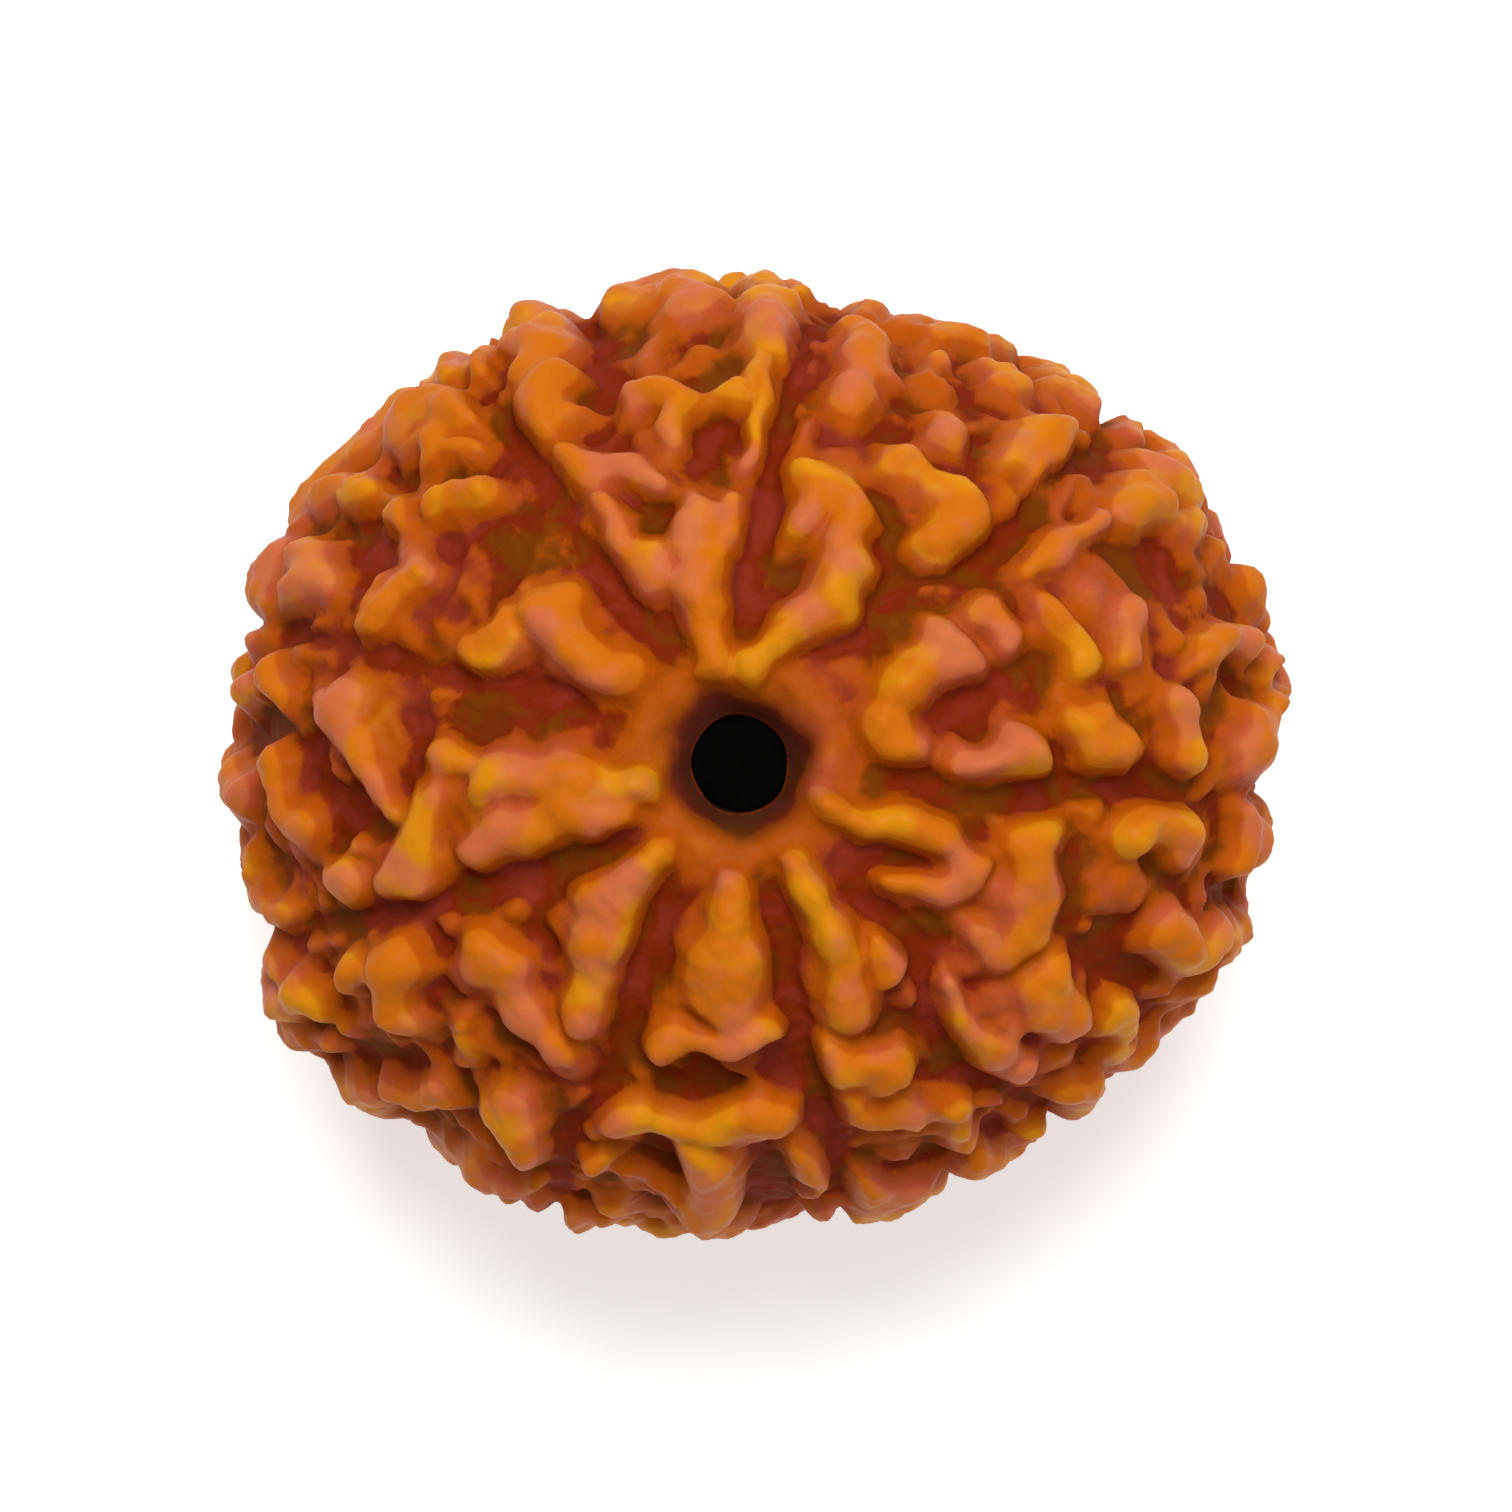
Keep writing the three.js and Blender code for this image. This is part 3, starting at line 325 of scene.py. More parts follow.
# The lower half has rows of knobs in each field between two lines, and a rib at the lower mouth.
ROWS = 5
FIRST_ROW = 102  # degrees from the top
ROW_STEP = 10.5
KNOB_SPACING = 2.6  # along a row
FIELD_MARGIN = 0.1  # of a field's width, kept clear at each line
RIB_TURNS = (168, 160, 151)  # degrees from the top
LINE_FIRST = 96  # where a line goes on below the rim, and by how much at a time
LINE_STEP = 7
LINE_STEPS = 10
LINE_SWAY = (0.04, 0.09)  # in radians
LINE_WAVE = 0.9  # radians of that swaying at each step
SEED = 9

# What is drawn for each knob of the lower half, least and most.
KNOB_DRIFT = (-0.16, 0.16)  # along its row, as a share of the spacing
KNOB_TILT = (-1.3, 1.3)  # radians from straight down the side
KNOB_HALF_LENGTH = (0.25, 1.15)
KNOB_CLIMB = (-2.5, 2.5)  # degrees off its row
KNOB_HALF_WIDTH = (0.5, 0.8)
KNOB_HEIGHT = (0.65, 1.05)
RIB_DRIFT = (-0.08, 0.08)  # off the middle of its field, as a share of the width
RIB_BEND = (-0.1, 0.1)  # in radians
RIB_HALF_WIDTH = (0.6, 0.8)
RIB_HEIGHT = (0.9, 1.0)

SWAY = 0.16  # how far space is bent, so that no ridge is quite straight
FINE_SWAY = 0.09
DOME_ROUND = 2.6  # how flat the top of a ridge is, and how steep its sides
NEAR = 3.2  # how far from its ends a ridge still raises the surface
CREASE_ROUNDS = 60  # how often heights are averaged to find what stands above its surroundings

# What a place's colour is read by: its height, how far it stands above its surroundings, and chance.
# Height and standing above the surroundings paint shade into the valleys and creases, and a painted
# highlight onto the crests.
HEIGHT_SHARE = 0.75
HEIGHT_START = 0.18
CREASE_SHADE_SHARE = 1.3
VALLEY_SPECKLE = 0.75
CREST_SPECKLE = 0.3
SPECKLE_SIZE = 0.9  # of its blotches, in millimetres
SPECKLE_EDGES = (0.05, 0.6)  # the heights of a valley and a crest

# Colours from a valley's floor to a crest. The dark valley colours are painted shade over the bead's own
# darker hollows, and the light crest colours are partly a painted highlight.
AMBER = [
    (0.0, (0.145, 0.0125, 0.0002)),
    (0.25, (0.310, 0.053, 0.0004)),
    (0.50, (0.325, 0.060, 0.0008)),
    (0.75, (0.350, 0.063, 0.0014)),
    (1.0, (0.440, 0.109, 0.0030)),
]
GOLD = [
    (0.0, (0.145, 0.0125, 0.0002)),
    (0.25, (0.318, 0.057, 0.0004)),
    (0.50, (0.330, 0.068, 0.0008)),
    (0.75, (0.390, 0.108, 0.0014)),
    (1.0, (0.505, 0.194, 0.0030)),
]
# A painted salmon sheen, lightest on the crests.
ROSE_SHEEN = [
    (0.0, (0.155, 0.0115, 0.0015)),
    (0.25, (0.308, 0.045, 0.0060)),
    (0.50, (0.300, 0.049, 0.0130)),
    (0.75, (0.345, 0.059, 0.026)),
    (1.0, (0.430, 0.101, 0.046)),
]

# Crests turn gold, a tone of their own, or take a painted rose sheen, where a noise rises from the first
# edge to the second.
GOLD_SIZE = 2.6  # of the noise, in millimetres
ROSE_SHEEN_SIZE = 2.2
TINT_AND_SHEEN_EDGES = (0.48, 0.64)
TINT_AND_SHEEN_SHARE = 0.8

# Valleys turn plum where another noise is high, and olive where it is low.
PLUM = (0.190, 0.022, 0.0105)
OLIVE = (0.122, 0.031, 0.0005)
PATCH_SIZE = 1.6
PLUM_EDGES = (0.48, 0.66)
PLUM_SHARE = 0.75
OLIVE_EDGES = (0.34, 0.52)
OLIVE_SHARE = 0.8
VALLEY_EDGES = (0.1, 0.5)  # what a valley is, on the scale that colours are read by

HOLE_SHADE = (0.030, 0.010, 0.005)  # painted shade, near-black in the hole and darkening the skin towards each mouth
HOLE_SHADE_RADIUS = 1.6
HOLE_SHADE_FALL = 7
BORE_SHADE = -0.1  # the height that the hole's walls are coloured as

# The skin's gloss and pores.
VALLEY_ROUGHNESS = 0.75
CREST_ROUGHNESS = 0.42
GLOSSY_FROM = 0.7  # where a crest's roughness is reached, on the scale that colours are read by
SPECULAR = 0.035
PORE_SIZE = 0.22
PORE_DEPTH = 0.04
PORE_STRENGTH = 0.5

# The camera and the stage, with lengths in millimetres.
SENSOR = 36.0
CAMERA_HEIGHT = 420.0
RIM_HEIGHT = 11.0
VIEW_WIDTH = 37.8  # of the frame, at the height of the bead's rim
CLIP_NEAR = 10.0
CLIP_FAR = 10000.0
FLOOR_HALF = 900.0
FLOOR_COLOUR = (0.88, 0.88, 0.87, 1)
FLOOR_ROUGHNESS = 0.8
GLOW = 0.4  # of the floor round the bead, which keeps its shadow light
GLOW_FROM = 7.0  # and how far from the middle it starts and is full
GLOW_FULL = 10.5
WORLD_COLOUR = (1.0, 0.99, 0.97, 1)
WORLD_STRENGTH = 0.34

# Each lamp's name, place, width, watts and colour.
LAMPS = [
    ("key", (-5, 170, 365), 240, 1.9, (1.0, 0.98, 0.95)),
    ("fill", (200, -160, 260), 260, 0.3, (0.96, 0.98, 1.0)),
]


class Draws:
    """A small random sequence that any language can repeat."""

    FACTOR = 1664525
    STEP = 1013904223
    RANGE = 2**32

    def __init__(self, seed):
        self.state = seed

    def between(self, limits):
        low, high = limits
        self.state = (self.state * self.FACTOR + self.STEP) % self.RANGE
        return low + (high - low) * self.state / self.RANGE


# The core and what lies on it


def outline(angle):
    """Plan radius of the core from the hole's axis."""
    c, s = np.cos(angle), np.sin(angle)
    radius = 1 / np.hypot(c / HALF_LENGTH, s / HALF_WIDTH) - HOLE[0] * c - HOLE[1] * s
    for middle, spread, out in SWELLS:
        turn = (np.degrees(angle) - middle + 180) % 360 - 180
        radius = radius + out * np.exp(-((turn / spread) ** 2))
    return radius


def around(angle, polar):
    """The core's points at angles round the hole and polar angles from the top."""
    edge = outline(angle)
    s, c = np.sin(polar), np.cos(polar)
    size = (np.abs(s) ** ROUNDNESS + np.abs(c) ** ROUNDNESS) ** (-1 / ROUNDNESS)
    flat = edge * size * s
    return np.stack([flat * np.cos(angle), flat * np.sin(angle), HALF_HEIGHT * size * c], axis=-1)


def outward(points):
    """The core's outward direction at points on it."""
    x, y, z = points.T
    angle = np.arctan2(y, x)
    edge = outline(angle)
    rise = np.sign(z) * (np.abs(z) / HALF_HEIGHT) ** (ROUNDNESS - 1) / HALF_HEIGHT
    spread = (np.hypot(x, y) / edge) ** (ROUNDNESS - 1) / edge
    way = np.stack([spread * np.cos(angle), spread * np.sin(angle), rise], axis=1)
    return way / np.linalg.norm(way, axis=1)[:, None]


def under(x, y, lift):
    """The core's point under one that is seen at x, y from above and stands out by lift."""
    angle = math.atan2(y - HOLE[1], x - HOLE[0])
    edge = float(outline(angle))
    share = min(1, math.hypot(x - HOLE[0], y - HOLE[1]) / (edge + lift))
    z = HALF_HEIGHT * (1 - share**ROUNDNESS) ** (1 / ROUNDNESS)
    return np.array([share * edge * math.cos(angle), share * edge * math.sin(angle), z])


def path_of(numbers, lift):
    """The core's points under a list of x, y, x, y and so on."""
    return np.array([under(x, y, lift) for x, y in zip(numbers[::2], numbers[1::2])])


def upper_ridges(rows, lift):
    """Ridges or hollows that bend with the space around them, and still pass through the listed points."""
    shift = np.array([0, SHADE_SHIFT, 0])
    return [(row[0], row[1], swayed(path_of(row[2:], lift) + shift)) for row in rows]


LINE_ANGLES = [math.atan2(line[-1] - HOLE[1], line[-2] - HOLE[0]) for line in MUKHI_LINES]


def mukhi_paths(draws):
    """Each line from mouth to mouth."""
    paths = []
    for line, angle in zip(MUKHI_LINES, LINE_ANGLES):
        path = list(path_of(line, 0))
        sway = draws.between(LINE_SWAY)
        phase = draws.between((0, FULL_TURN))
        for step in range(1, LINE_STEPS + 1):
            wobble = sway * (math.sin(phase + LINE_WAVE * step) - math.sin(phase))
            path.append(around(angle + wobble, math.radians(LINE_FIRST + LINE_STEP * step)))
        paths.append(np.array(path))
    return paths


def knob(middle, polar, tilt, half_length, half_width, height):
    """A ridge of two points about a middle, tilted from straight down the side."""
    across = half_length * math.sin(tilt) / (HALF_LENGTH * math.sin(polar))
    down = half_length * math.cos(tilt) / HALF_LENGTH
    ends = [around(middle - across, polar - down), around(middle + across, polar + down)]
    return half_width, height, np.array(ends)


def rim_knobs():
    return [
        knob(math.radians(angle), math.radians(RIM_POLAR), tilt, length + RIM_LONGER, half_width, height)
        for angle, half_width, height, tilt, length in RIM_KNOBS
    ]


def lower_ridges(draws):
    """Rows of knobs in each field between two lines, and a rib at the lower mouth."""
    made = []
    for n, start in enumerate(LINE_ANGLES):
        width = (start - LINE_ANGLES[(n + 1) % len(LINE_ANGLES)]) % FULL_TURN
        for row in range(ROWS):
            polar = FIRST_ROW + ROW_STEP * row
            span = width * HALF_LENGTH * math.sin(math.radians(polar))
            count = max(1, math.floor(span / KNOB_SPACING + 0.5))
            for k in range(count):
                share = (k + 0.5 + draws.between(KNOB_DRIFT)) / count
                middle = start - width * (FIELD_MARGIN + (1 - 2 * FIELD_MARGIN) * share)
                tilt = draws.between(KNOB_TILT)
                half_length = draws.between(KNOB_HALF_LENGTH)
                here = math.radians(polar + draws.between(KNOB_CLIMB))
                half_width = draws.between(KNOB_HALF_WIDTH)
                height = draws.between(KNOB_HEIGHT)
                made.append(knob(middle, here, tilt, half_length, half_width, height))
        middle = start - width * (0.5 + draws.between(RIB_DRIFT))
        bends = [0, draws.between(RIB_BEND), 0]
        half_width = draws.between(RIB_HALF_WIDTH)
        height = draws.between(RIB_HEIGHT)
        path = [around(middle + bend, math.radians(turn)) for bend, turn in zip(bends, RIB_TURNS)]
        made.append((half_width, height, np.array(path)))
    return made


# The relief. In its waves, x, y and z are multiplied by radians per millimetre, and no two waves are
# alike, so that no pattern repeats.


def distance_to(path, points):
    nearest = np.full(len(points), np.inf)
    for start, end in zip(path[:-1], path[1:]):
        along = end - start
        gap = points - start
        share = np.clip(gap @ along / (along @ along), 0, 1)
        gap = gap - share[:, None] * along
        nearest = np.minimum(nearest, np.einsum("ij,ij->i", gap, gap))
    return np.sqrt(nearest)


def smooth_max(a, b, soft):
    """The larger of two heights, with the corner between them rounded."""
    overlap = np.maximum(soft - np.abs(a - b), 0) / soft
    return np.maximum(a, b) + overlap * overlap * soft / 4


def domed(t):
    """A ridge's height: 1 at its crest and a half at t = 1."""
    return np.exp(-math.log(2) * t**DOME_ROUND)


def flat_topped(t):
    """A hollow's depth: 1 at its middle and a half at t = 1."""
    return 1 / (1 + t**HOLLOW_ROUND)


def swayed(points):
    """A gentle bending of space."""
    x, y, z = points.T
    return np.stack(
        [
            x + SWAY * np.sin(1.9 * y + 0.7 * z + 1) + FINE_SWAY * np.sin(3.7 * z - 2.9 * y),
            y + SWAY * np.sin(2.1 * x - 0.8 * z + 2) + FINE_SWAY * np.sin(3.3 * x + 3.1 * z + 4),
            z + SWAY * np.sin(1.7 * x + 1.5 * y + 3) + FINE_SWAY * np.sin(3.5 * y - 2.7 * x + 1),
        ],
        axis=1,
    )


def pebbling(points):
    """Low bumps that fill the valleys between the ridges, from 0 to 1."""
    x, y, z = points.T
    a = np.sin(2.9 * x + 1.4 * np.sin(1.7 * y + z))
    b = np.sin(2.7 * y + 1.3 * np.sin(1.9 * z + x) + 1)
    c = np.sin(2.8 * z + 1.2 * np.sin(1.8 * x + y) + 2)
    return np.clip(0.5 + 0.3 * (a * b + b * c + c * a), 0, 1)


def unevenness(points):
    """Where a ridge widens and thins, from about -1 to 1."""
    x, y, z = points.T
    a = np.sin(3.3 * x + 1.9 * np.sin(2.3 * y - 1.1 * z) + 0.4)
    b = np.sin(3.1 * y + 1.8 * np.sin(2.5 * z - 1.3 * x) + 2.2)
    c = np.sin(3.5 * z + 1.7 * np.sin(2.1 * x - 1.2 * y) + 3.9)
    return (a + b + c) / 2


def bumps(points):
    """Small bumps, from about -1 to 1."""
    x, y, z = points.T
    a = np.sin(4.7 * x + 1.6 * np.sin(2.9 * y + 2.1 * z) + 1.3)
    b = np.sin(4.9 * y + 1.7 * np.sin(2.7 * z + 2.3 * x) + 0.2)
    c = np.sin(4.5 * z + 1.8 * np.sin(3.1 * x + 1.9 * y) + 2.6)
    return (a * b + b * c + c * a) / 1.5


def grain(points):
    """Bumps finer than those that the solid has, from about -1 to 1."""
    x, y, z = points.T
    a = np.sin(7.1 * x + 2.1 * np.sin(3.3 * y + 2.7 * z) + 0.5)
    b = np.sin(6.7 * y + 2.3 * np.sin(3.1 * z + 2.9 * x) + 1.7)
    c = np.sin(7.4 * z + 2.2 * np.sin(3.5 * x + 2.5 * y) + 2.9)
    fine = np.sin(13.3 * x + 4 * a) * np.sin(12.1 * y + 4 * b) * np.sin(12.7 * z + 4 * c)
    return (a * b + b * c + c * a) / 2 + 0.5 * fine


def off_hole(points):
    """Distance from the hole's axis, a little uneven, so that its mouth isn't quite round."""
    return np.hypot(points[:, 0], points[:, 1]) * (1 + MOUTH_CHANGE * unevenness(points))


def relief(points):
    """Height of the surface over points of the core."""
    draws = Draws(SEED)
    lines = mukhi_paths(draws)
    ridges = upper_ridges(RIDGES, CREST) + rim_knobs() + lower_ridges(draws)
    moved = swayed(points)
    uneven = unevenness(points)
    widen = WIDEN * (1 + WIDTH_CHANGE * uneven)
    rise = RISE * (1 + HEIGHT_CHANGE * uneven)
    height = PEBBLE_HEIGHT * pebbling(points)
    for half_width, top, path in ridges:
        reach = NEAR + np.linalg.norm(path - path.mean(axis=0), axis=1).max()
        near = np.linalg.norm(moved - path.mean(axis=0), axis=1) < reach
        t = distance_to(path, moved[near]) / (half_width * widen[near])
        height[near] = smooth_max(height[near], rise[near] * top * domed(t), BLEND)
    height += BUMP_HEIGHT * (1 - CREST_CALM * height / RISE) * bumps(points)
    for half_width, depth, path in upper_ridges(HOLLOWS, 0):
        height -= depth * flat_topped(distance_to(path, moved) / half_width)
    groove_half = GROOVE_HALF_WIDTH * (1 + GROOVE_CHANGE * uneven)
    groove = np.zeros(len(points))
    for path in lines:
        groove = np.maximum(groove, flat_topped(distance_to(path, points) / groove_half))
    height -= groove * (GROOVE_CUT * np.maximum(height, 0) + GROOVE_DEPTH)
    from_hole = off_hole(points)
    height = smooth_max(height, COLLAR_HEIGHT / (1 + (from_hole / COLLAR_RADIUS) ** COLLAR_FALL), BLEND)
    return height - MOUTH_DIP / (1 + (from_hole / MOUTH_RADIUS) ** MOUTH_FALL)


# The mesh


def geodesic(divisions):
    """Unit directions and triangles of an icosahedron with each edge divided."""
    ball = bmesh.new()
    bmesh.ops.create_icosphere(ball, subdivisions=1, radius=1)
    sides = np.array([[v.co for v in face.verts] for face in ball.faces])
    ball.free()
    steps = [(i, j) for i in range(divisions + 1) for j in range(divisions + 1 - i)]
    number = {step: k for k, step in enumerate(steps)}
    weights = np.array([(divisions - i - j, i, j) for i, j in steps]) / divisions
    pattern = []
    for i, j in steps:
        if i + j < divisions:
            pattern.append((number[i, j], number[i + 1, j], number[i, j + 1]))
        if i + j < divisions - 1:
            pattern.append((number[i + 1, j], number[i + 1, j + 1], number[i, j + 1]))
    points = (weights @ sides).reshape(-1, 3)
    faces = (np.array(pattern) + len(steps) * np.arange(len(sides))[:, None, None]).reshape(-1, 3)
    points /= np.linalg.norm(points, axis=1)[:, None]
    kept, merged = np.unique(np.round(points, MERGED_DECIMALS), axis=0, return_inverse=True)
    return kept, merged.reshape(-1)[faces]


def neighbour_mean(values, edges):
    total = values.copy()
    count = np.ones(len(values))
    for a, b in (edges, edges[::-1]):
        np.add.at(total, a, values[b])
        np.add.at(count, a, 1)
    return total / count


def edge_pairs(faces):
    pairs = np.sort(faces[:, [0, 1, 1, 2, 2, 0]].reshape(-1, 2), axis=1)
    return np.unique(pairs, axis=0).T


def new_piece(name, vertices, faces):
    mesh = bpy.data.meshes.new(name)
    mesh.from_pydata(vertices.tolist(), [], list(faces))
    piece = bpy.data.objects.new(name, mesh)
    bpy.context.scene.collection.objects.link(piece)
    return piece


def add_attribute(mesh, name, values):
    mesh.attributes.new(name, "FLOAT", "POINT").data.foreach_set("value", values.astype(np.float32))


def bore_cutter():
    """A slightly uneven tube right through the bead, closed at both ends."""
    heights = np.linspace(-FOOT_DROP - CUTTER_BELOW, HALF_HEIGHT + CUTTER_ABOVE, BORE_RINGS)
    angle = np.linspace(0, FULL_TURN, BORE_SIDES, endpoint=False)
    z, turn = np.meshgrid(heights, angle, indexing="ij")
    uneven = BORE_WAVES[0] * np.sin(2 * turn + 0.5 * z) + BORE_WAVES[1] * np.sin(5 * turn - 0.9 * z)
    radius = BORE_RADIUS * (1 + uneven)
    points = np.stack([radius * np.cos(turn), radius * np.sin(turn), z], axis=-1).reshape(-1, 3)
    faces = []
    for row in range(len(heights) - 1):
        for k in range(BORE_SIDES):
            a, b = row * BORE_SIDES + k, row * BORE_SIDES + (k + 1) % BORE_SIDES
            faces.append((a, b, b + BORE_SIDES, a + BORE_SIDES))
    last = (len(heights) - 1) * BORE_SIDES
    faces.append(tuple(range(BORE_SIDES))[::-1])
    faces.append(tuple(range(last, last + BORE_SIDES)))
    return to_row(points), faces


def to_row(points):
    """From the middle of the core, in millimetres, to the part's own frame, in metres."""
    return (points + np.array([HOLE[0], HOLE[1], FOOT_DROP])) * MM


def crease_of(height, faces):
    """How far each point stands above its surroundings."""
    edges = edge_pairs(faces)
    surroundings = height
    for _ in range(CREASE_ROUNDS):
        surroundings = neighbour_mean(surroundings, edges)
    return height - surroundings


def cut_bore(bead):
    """Cut the hole through the bead, and keep the result as its mesh."""
    cutter = new_piece("bore_cutter", *bore_cutter())
    count = len(cutter.data.vertices)
    # The hole's walls take the full painted shade of the hole.
    add_attribute(cutter.data, "relief", np.full(count, BORE_SHADE))
    add_attribute(cutter.data, "crease", np.zeros(count))
    add_attribute(cutter.data, "mouth", np.ones(count))
    cut = bead.modifiers.new("bore", "BOOLEAN")
    cut.operation = "DIFFERENCE"
    cut.solver = "MANIFOLD"
    cut.object = cutter
    drawn = bead.evaluated_get(bpy.context.evaluated_depsgraph_get())
    finished = bpy.data.meshes.new_from_object(drawn)
    bead.modifiers.clear()
    bead.data = finished
    bpy.data.objects.remove(cutter)


def make_bead():
    way, faces = geodesic(DIVISIONS)
    core = around(np.arctan2(way[:, 1], way[:, 0]), np.arccos(np.clip(way[:, 2], -1, 1)))
    height = relief(core)
    surface = height + GRAIN_HEIGHT * grain(core)
    points = to_row(core + outward(core) * surface[:, None])
    points[:, 2] = np.maximum(points[:, 2], 0)
    bead = new_piece("rudraksha_stone", points, faces)
    add_attribute(bead.data, "relief", height / RISE)
    # How far a point stands above its surroundings, which the colour turns into painted shade in creases
    # and painted highlight on crests.
    add_attribute(bead.data, "crease", crease_of(height, faces) / RISE)
    # Where the painted shade of the hole darkens the skin, towards each mouth.
    add_attribute(bead.data, "mouth", 1 / (1 + (off_hole(core) / HOLE_SHADE_RADIUS) ** HOLE_SHADE_FALL))
    cut_bore(bead)
    bead.data.shade_smooth()
    return bead


# Materials


def node(tree, kind, **settings):
    made = tree.nodes.new("ShaderNode" + kind)
    for name, value in settings.items():
        setattr(made, name, value)
    return made


def attribute(tree, name):
    return node(tree, "Attribute", attribute_name=name).outputs["Fac"]


def noise(tree, place, size_mm, detail=3.0, roughness=0.55, distortion=0.0):
    """Noise whose largest blotches are about so many millimetres across."""
    made = node(tree, "TexNoise")
    made.inputs["Scale"].default_value = 1 / (size_mm * MM)
    made.inputs["Detail"].default_value = detail
    made.inputs["Roughness"].default_value = roughness
    made.inputs["Distortion"].default_value = distortion
    tree.links.new(place, made.inputs["Vector"])
    return made.outputs["Fac"]


def computed(tree, operation, *terms):
    """The result of an operation on numbers or other nodes' results."""
    made = node(tree, "Math", operation=operation)
    for socket, value in zip(made.inputs, terms):
        if isinstance(value, (int, float)):
            socket.default_value = value
        else:
            tree.links.new(value, socket)
    return made.outputs["Value"]


def spread(tree, value, low, high, to_low, to_high):
    """A value eased from one range to another, and held at its ends."""
    made = node(tree, "MapRange", interpolation_type="SMOOTHSTEP")
    tree.links.new(value, made.inputs["Value"])
    for name, number in zip(("From Min", "From Max", "To Min", "To Max"), (low, high, to_low, to_high)):
        made.inputs[name].default_value = number
    return made.outputs["Result"]


def mix(tree, factor, a, b):
    made = node(tree, "Mix", data_type="RGBA", blend_type="MIX")
    for name, value in (("Factor_Float", factor), ("A_Color", a), ("B_Color", b)):
        socket = next(s for s in made.inputs if s.identifier == name)
        if isinstance(value, bpy.types.NodeSocket):
            tree.links.new(value, socket)
        else:
            socket.default_value = value if isinstance(value, float) else (*value, 1)
    return next(s for s in made.outputs if s.identifier == "Result_Color")


def ramp(tree, value, stops):
    made = node(tree, "ValToRGB")
    made.color_ramp.interpolation = "EASE"
    elements = made.color_ramp.elements
    while len(elements) < len(stops):
        elements.new(0.5)
    for element, (place, colour) in zip(elements, stops):
        element.position = place
        element.color = (*colour, 1)
    tree.links.new(value, made.inputs["Fac"])
    return made.outputs["Color"]


def stone_material():
    material = bpy.data.materials.new("rudraksha_stone")
    material.use_nodes = True
    tree = material.node_tree
    shader = tree.nodes["Principled BSDF"]
    place = node(tree, "TexCoord").outputs["Object"]
    height = attribute(tree, "relief")
    crease = attribute(tree, "crease")
    # Where the painted rose sheen falls.
    sheen_noise = noise(tree, place, ROSE_SHEEN_SIZE, detail=2.0)
    speckle = noise(tree, place, SPECKLE_SIZE, detail=4.0, roughness=0.6, distortion=0.8)
    mottled = spread(tree, height, *SPECKLE_EDGES, VALLEY_SPECKLE, CREST_SPECKLE)
    # Low places and creases are painted darker and high crests lighter: painted shade and painted
    # highlight, over the bead's own darker hollows.
    shaded = computed(tree, "MULTIPLY_ADD", height, HEIGHT_SHARE, HEIGHT_START)
    shaded = computed(tree, "MULTIPLY_ADD", crease, CREASE_SHADE_SHARE, shaded)
    shaded = computed(tree, "MULTIPLY_ADD", computed(tree, "SUBTRACT", speckle, 0.5), mottled, shaded)
    amber = ramp(tree, shaded, AMBER)
    rose_sheen = ramp(tree, shaded, ROSE_SHEEN)
    gold = ramp(tree, shaded, GOLD)
    sunny = noise(tree, place, GOLD_SIZE, detail=2.0, distortion=0.5)
    colour = mix(tree, spread(tree, sunny, *TINT_AND_SHEEN_EDGES, 0.0, TINT_AND_SHEEN_SHARE), amber, gold)
    # Painted rose sheen on the crests where its noise is high.
    colour = mix(tree, spread(tree, sheen_noise, *TINT_AND_SHEEN_EDGES, 0.0, TINT_AND_SHEEN_SHARE), colour, rose_sheen)
    patch = noise(tree, place, PATCH_SIZE, detail=3.0, distortion=0.6)
    low = spread(tree, shaded, *VALLEY_EDGES, 1.0, 0.0)
    plum = computed(tree, "MULTIPLY", low, spread(tree, patch, *PLUM_EDGES, 0.0, PLUM_SHARE))
    colour = mix(tree, plum, colour, PLUM)
    olive = computed(tree, "MULTIPLY", low, spread(tree, patch, *OLIVE_EDGES, OLIVE_SHARE, 0.0))
    colour = mix(tree, olive, colour, OLIVE)
    # Painted shade of the hole: near-black on its walls and darkening towards each mouth.
    colour = mix(tree, attribute(tree, "mouth"), colour, HOLE_SHADE)
    tree.links.new(colour, shader.inputs["Base Color"])
    dull = spread(tree, shaded, 0.0, GLOSSY_FROM, VALLEY_ROUGHNESS, CREST_ROUGHNESS)
    tree.links.new(dull, shader.inputs["Roughness"])
    pores = noise(tree, place, PORE_SIZE, detail=3.0, roughness=0.6)
    bump = node(tree, "Bump")
    bump.inputs["Strength"].default_value = PORE_STRENGTH
    bump.inputs["Distance"].default_value = PORE_DEPTH * MM
    tree.links.new(pores, bump.inputs["Height"])
    tree.links.new(bump.outputs["Normal"], shader.inputs["Normal"])
    shader.inputs["Specular IOR Level"].default_value = SPECULAR
    return material


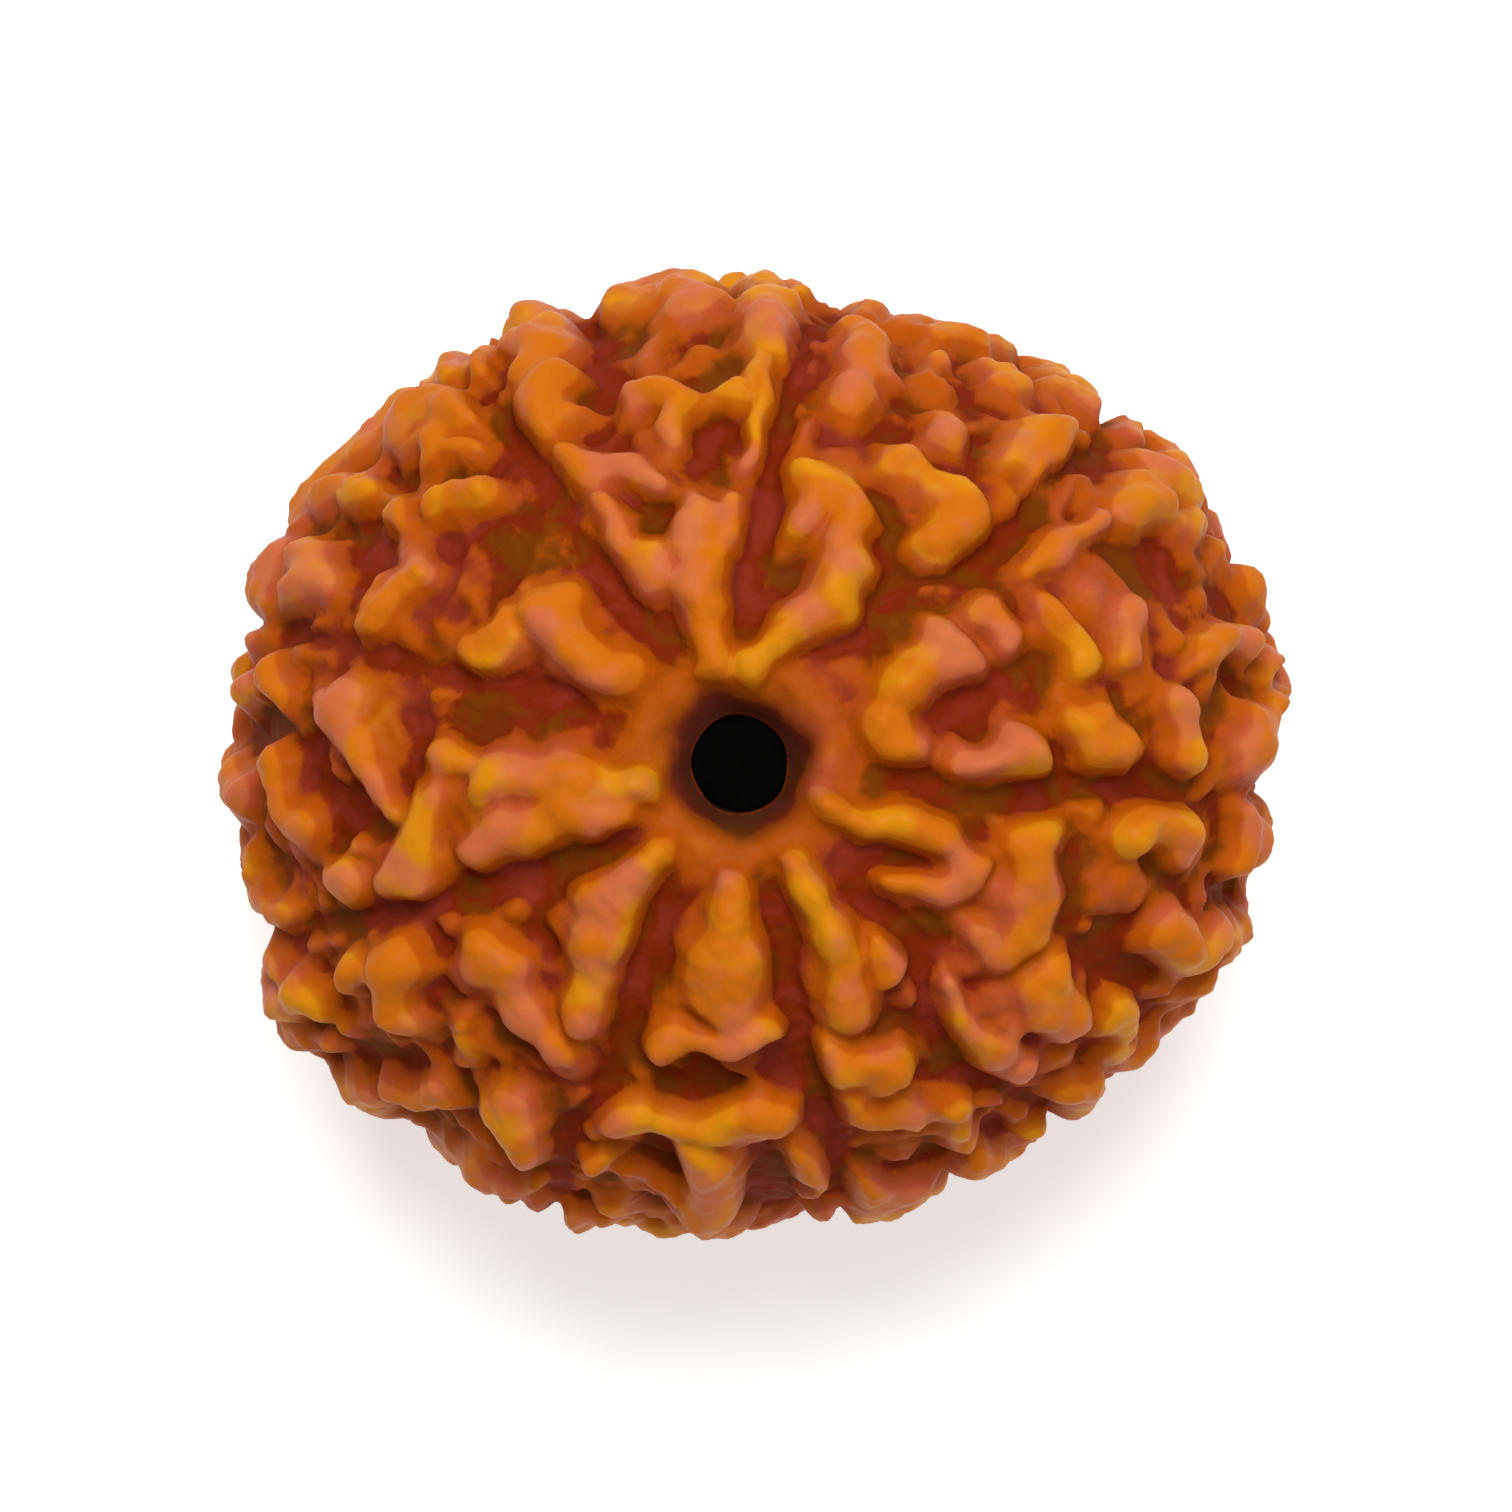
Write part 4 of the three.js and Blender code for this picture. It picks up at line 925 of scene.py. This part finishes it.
def floor_material():
    material = bpy.data.materials.new("floor")
    material.use_nodes = True
    tree = material.node_tree
    shader = tree.nodes["Principled BSDF"]
    shader.inputs["Base Color"].default_value = FLOOR_COLOUR
    shader.inputs["Roughness"].default_value = FLOOR_ROUGHNESS
    shader.inputs["Emission Color"].default_value = (1, 1, 1, 1)
    off_middle = node(tree, "VectorMath", operation="LENGTH")
    tree.links.new(node(tree, "TexCoord").outputs["Object"], off_middle.inputs[0])
    glow = spread(tree, off_middle.outputs["Value"], GLOW_FROM * MM, GLOW_FULL * MM, 0.0, GLOW)
    tree.links.new(glow, shader.inputs["Emission Strength"])
    return material


# The stage


def make_floor():
    half = FLOOR_HALF * MM
    corners = np.array([(-half, -half, 0), (half, -half, 0), (half, half, 0), (-half, half, 0)])
    floor = new_piece("floor", corners, [(0, 1, 2, 3)])
    floor.data.materials.append(floor_material())


def make_lamp(name, place_mm, size_mm, watts, colour):
    lamp = bpy.data.lights.new(name, "AREA")
    lamp.shape = "DISK"
    lamp.size = size_mm * MM
    lamp.energy = watts
    lamp.color = colour
    light = bpy.data.objects.new(name, lamp)
    light.location = Vector(place_mm) * MM
    light.rotation_euler = light.location.to_track_quat("Z", "Y").to_euler()
    bpy.context.scene.collection.objects.link(light)


def make_world():
    world = bpy.data.worlds.new("studio")
    bpy.context.scene.world = world
    world.use_nodes = True
    background = world.node_tree.nodes["Background"]
    background.inputs["Color"].default_value = WORLD_COLOUR
    background.inputs["Strength"].default_value = WORLD_STRENGTH


def make_camera():
    """Straight above the bead, as the photo was taken."""
    camera = bpy.data.objects.new("camera", bpy.data.cameras.new("camera"))
    camera.data.sensor_width = SENSOR
    camera.data.lens = SENSOR * (CAMERA_HEIGHT - RIM_HEIGHT) / VIEW_WIDTH
    camera.data.clip_start = CLIP_NEAR * MM
    camera.data.clip_end = CLIP_FAR * MM
    camera.location = (0, 0, CAMERA_HEIGHT * MM)
    bpy.context.scene.collection.objects.link(camera)
    bpy.context.scene.camera = camera


def main():
    make_camera()
    make_world()
    make_floor()
    for lamp in LAMPS:
        make_lamp(*lamp)
    bead = make_bead()
    bead.data.materials.clear()
    bead.data.materials.append(stone_material())
    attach(bead, "root")
    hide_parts(NODE)
    bpy.context.scene.view_settings.view_transform = "Standard"


main()
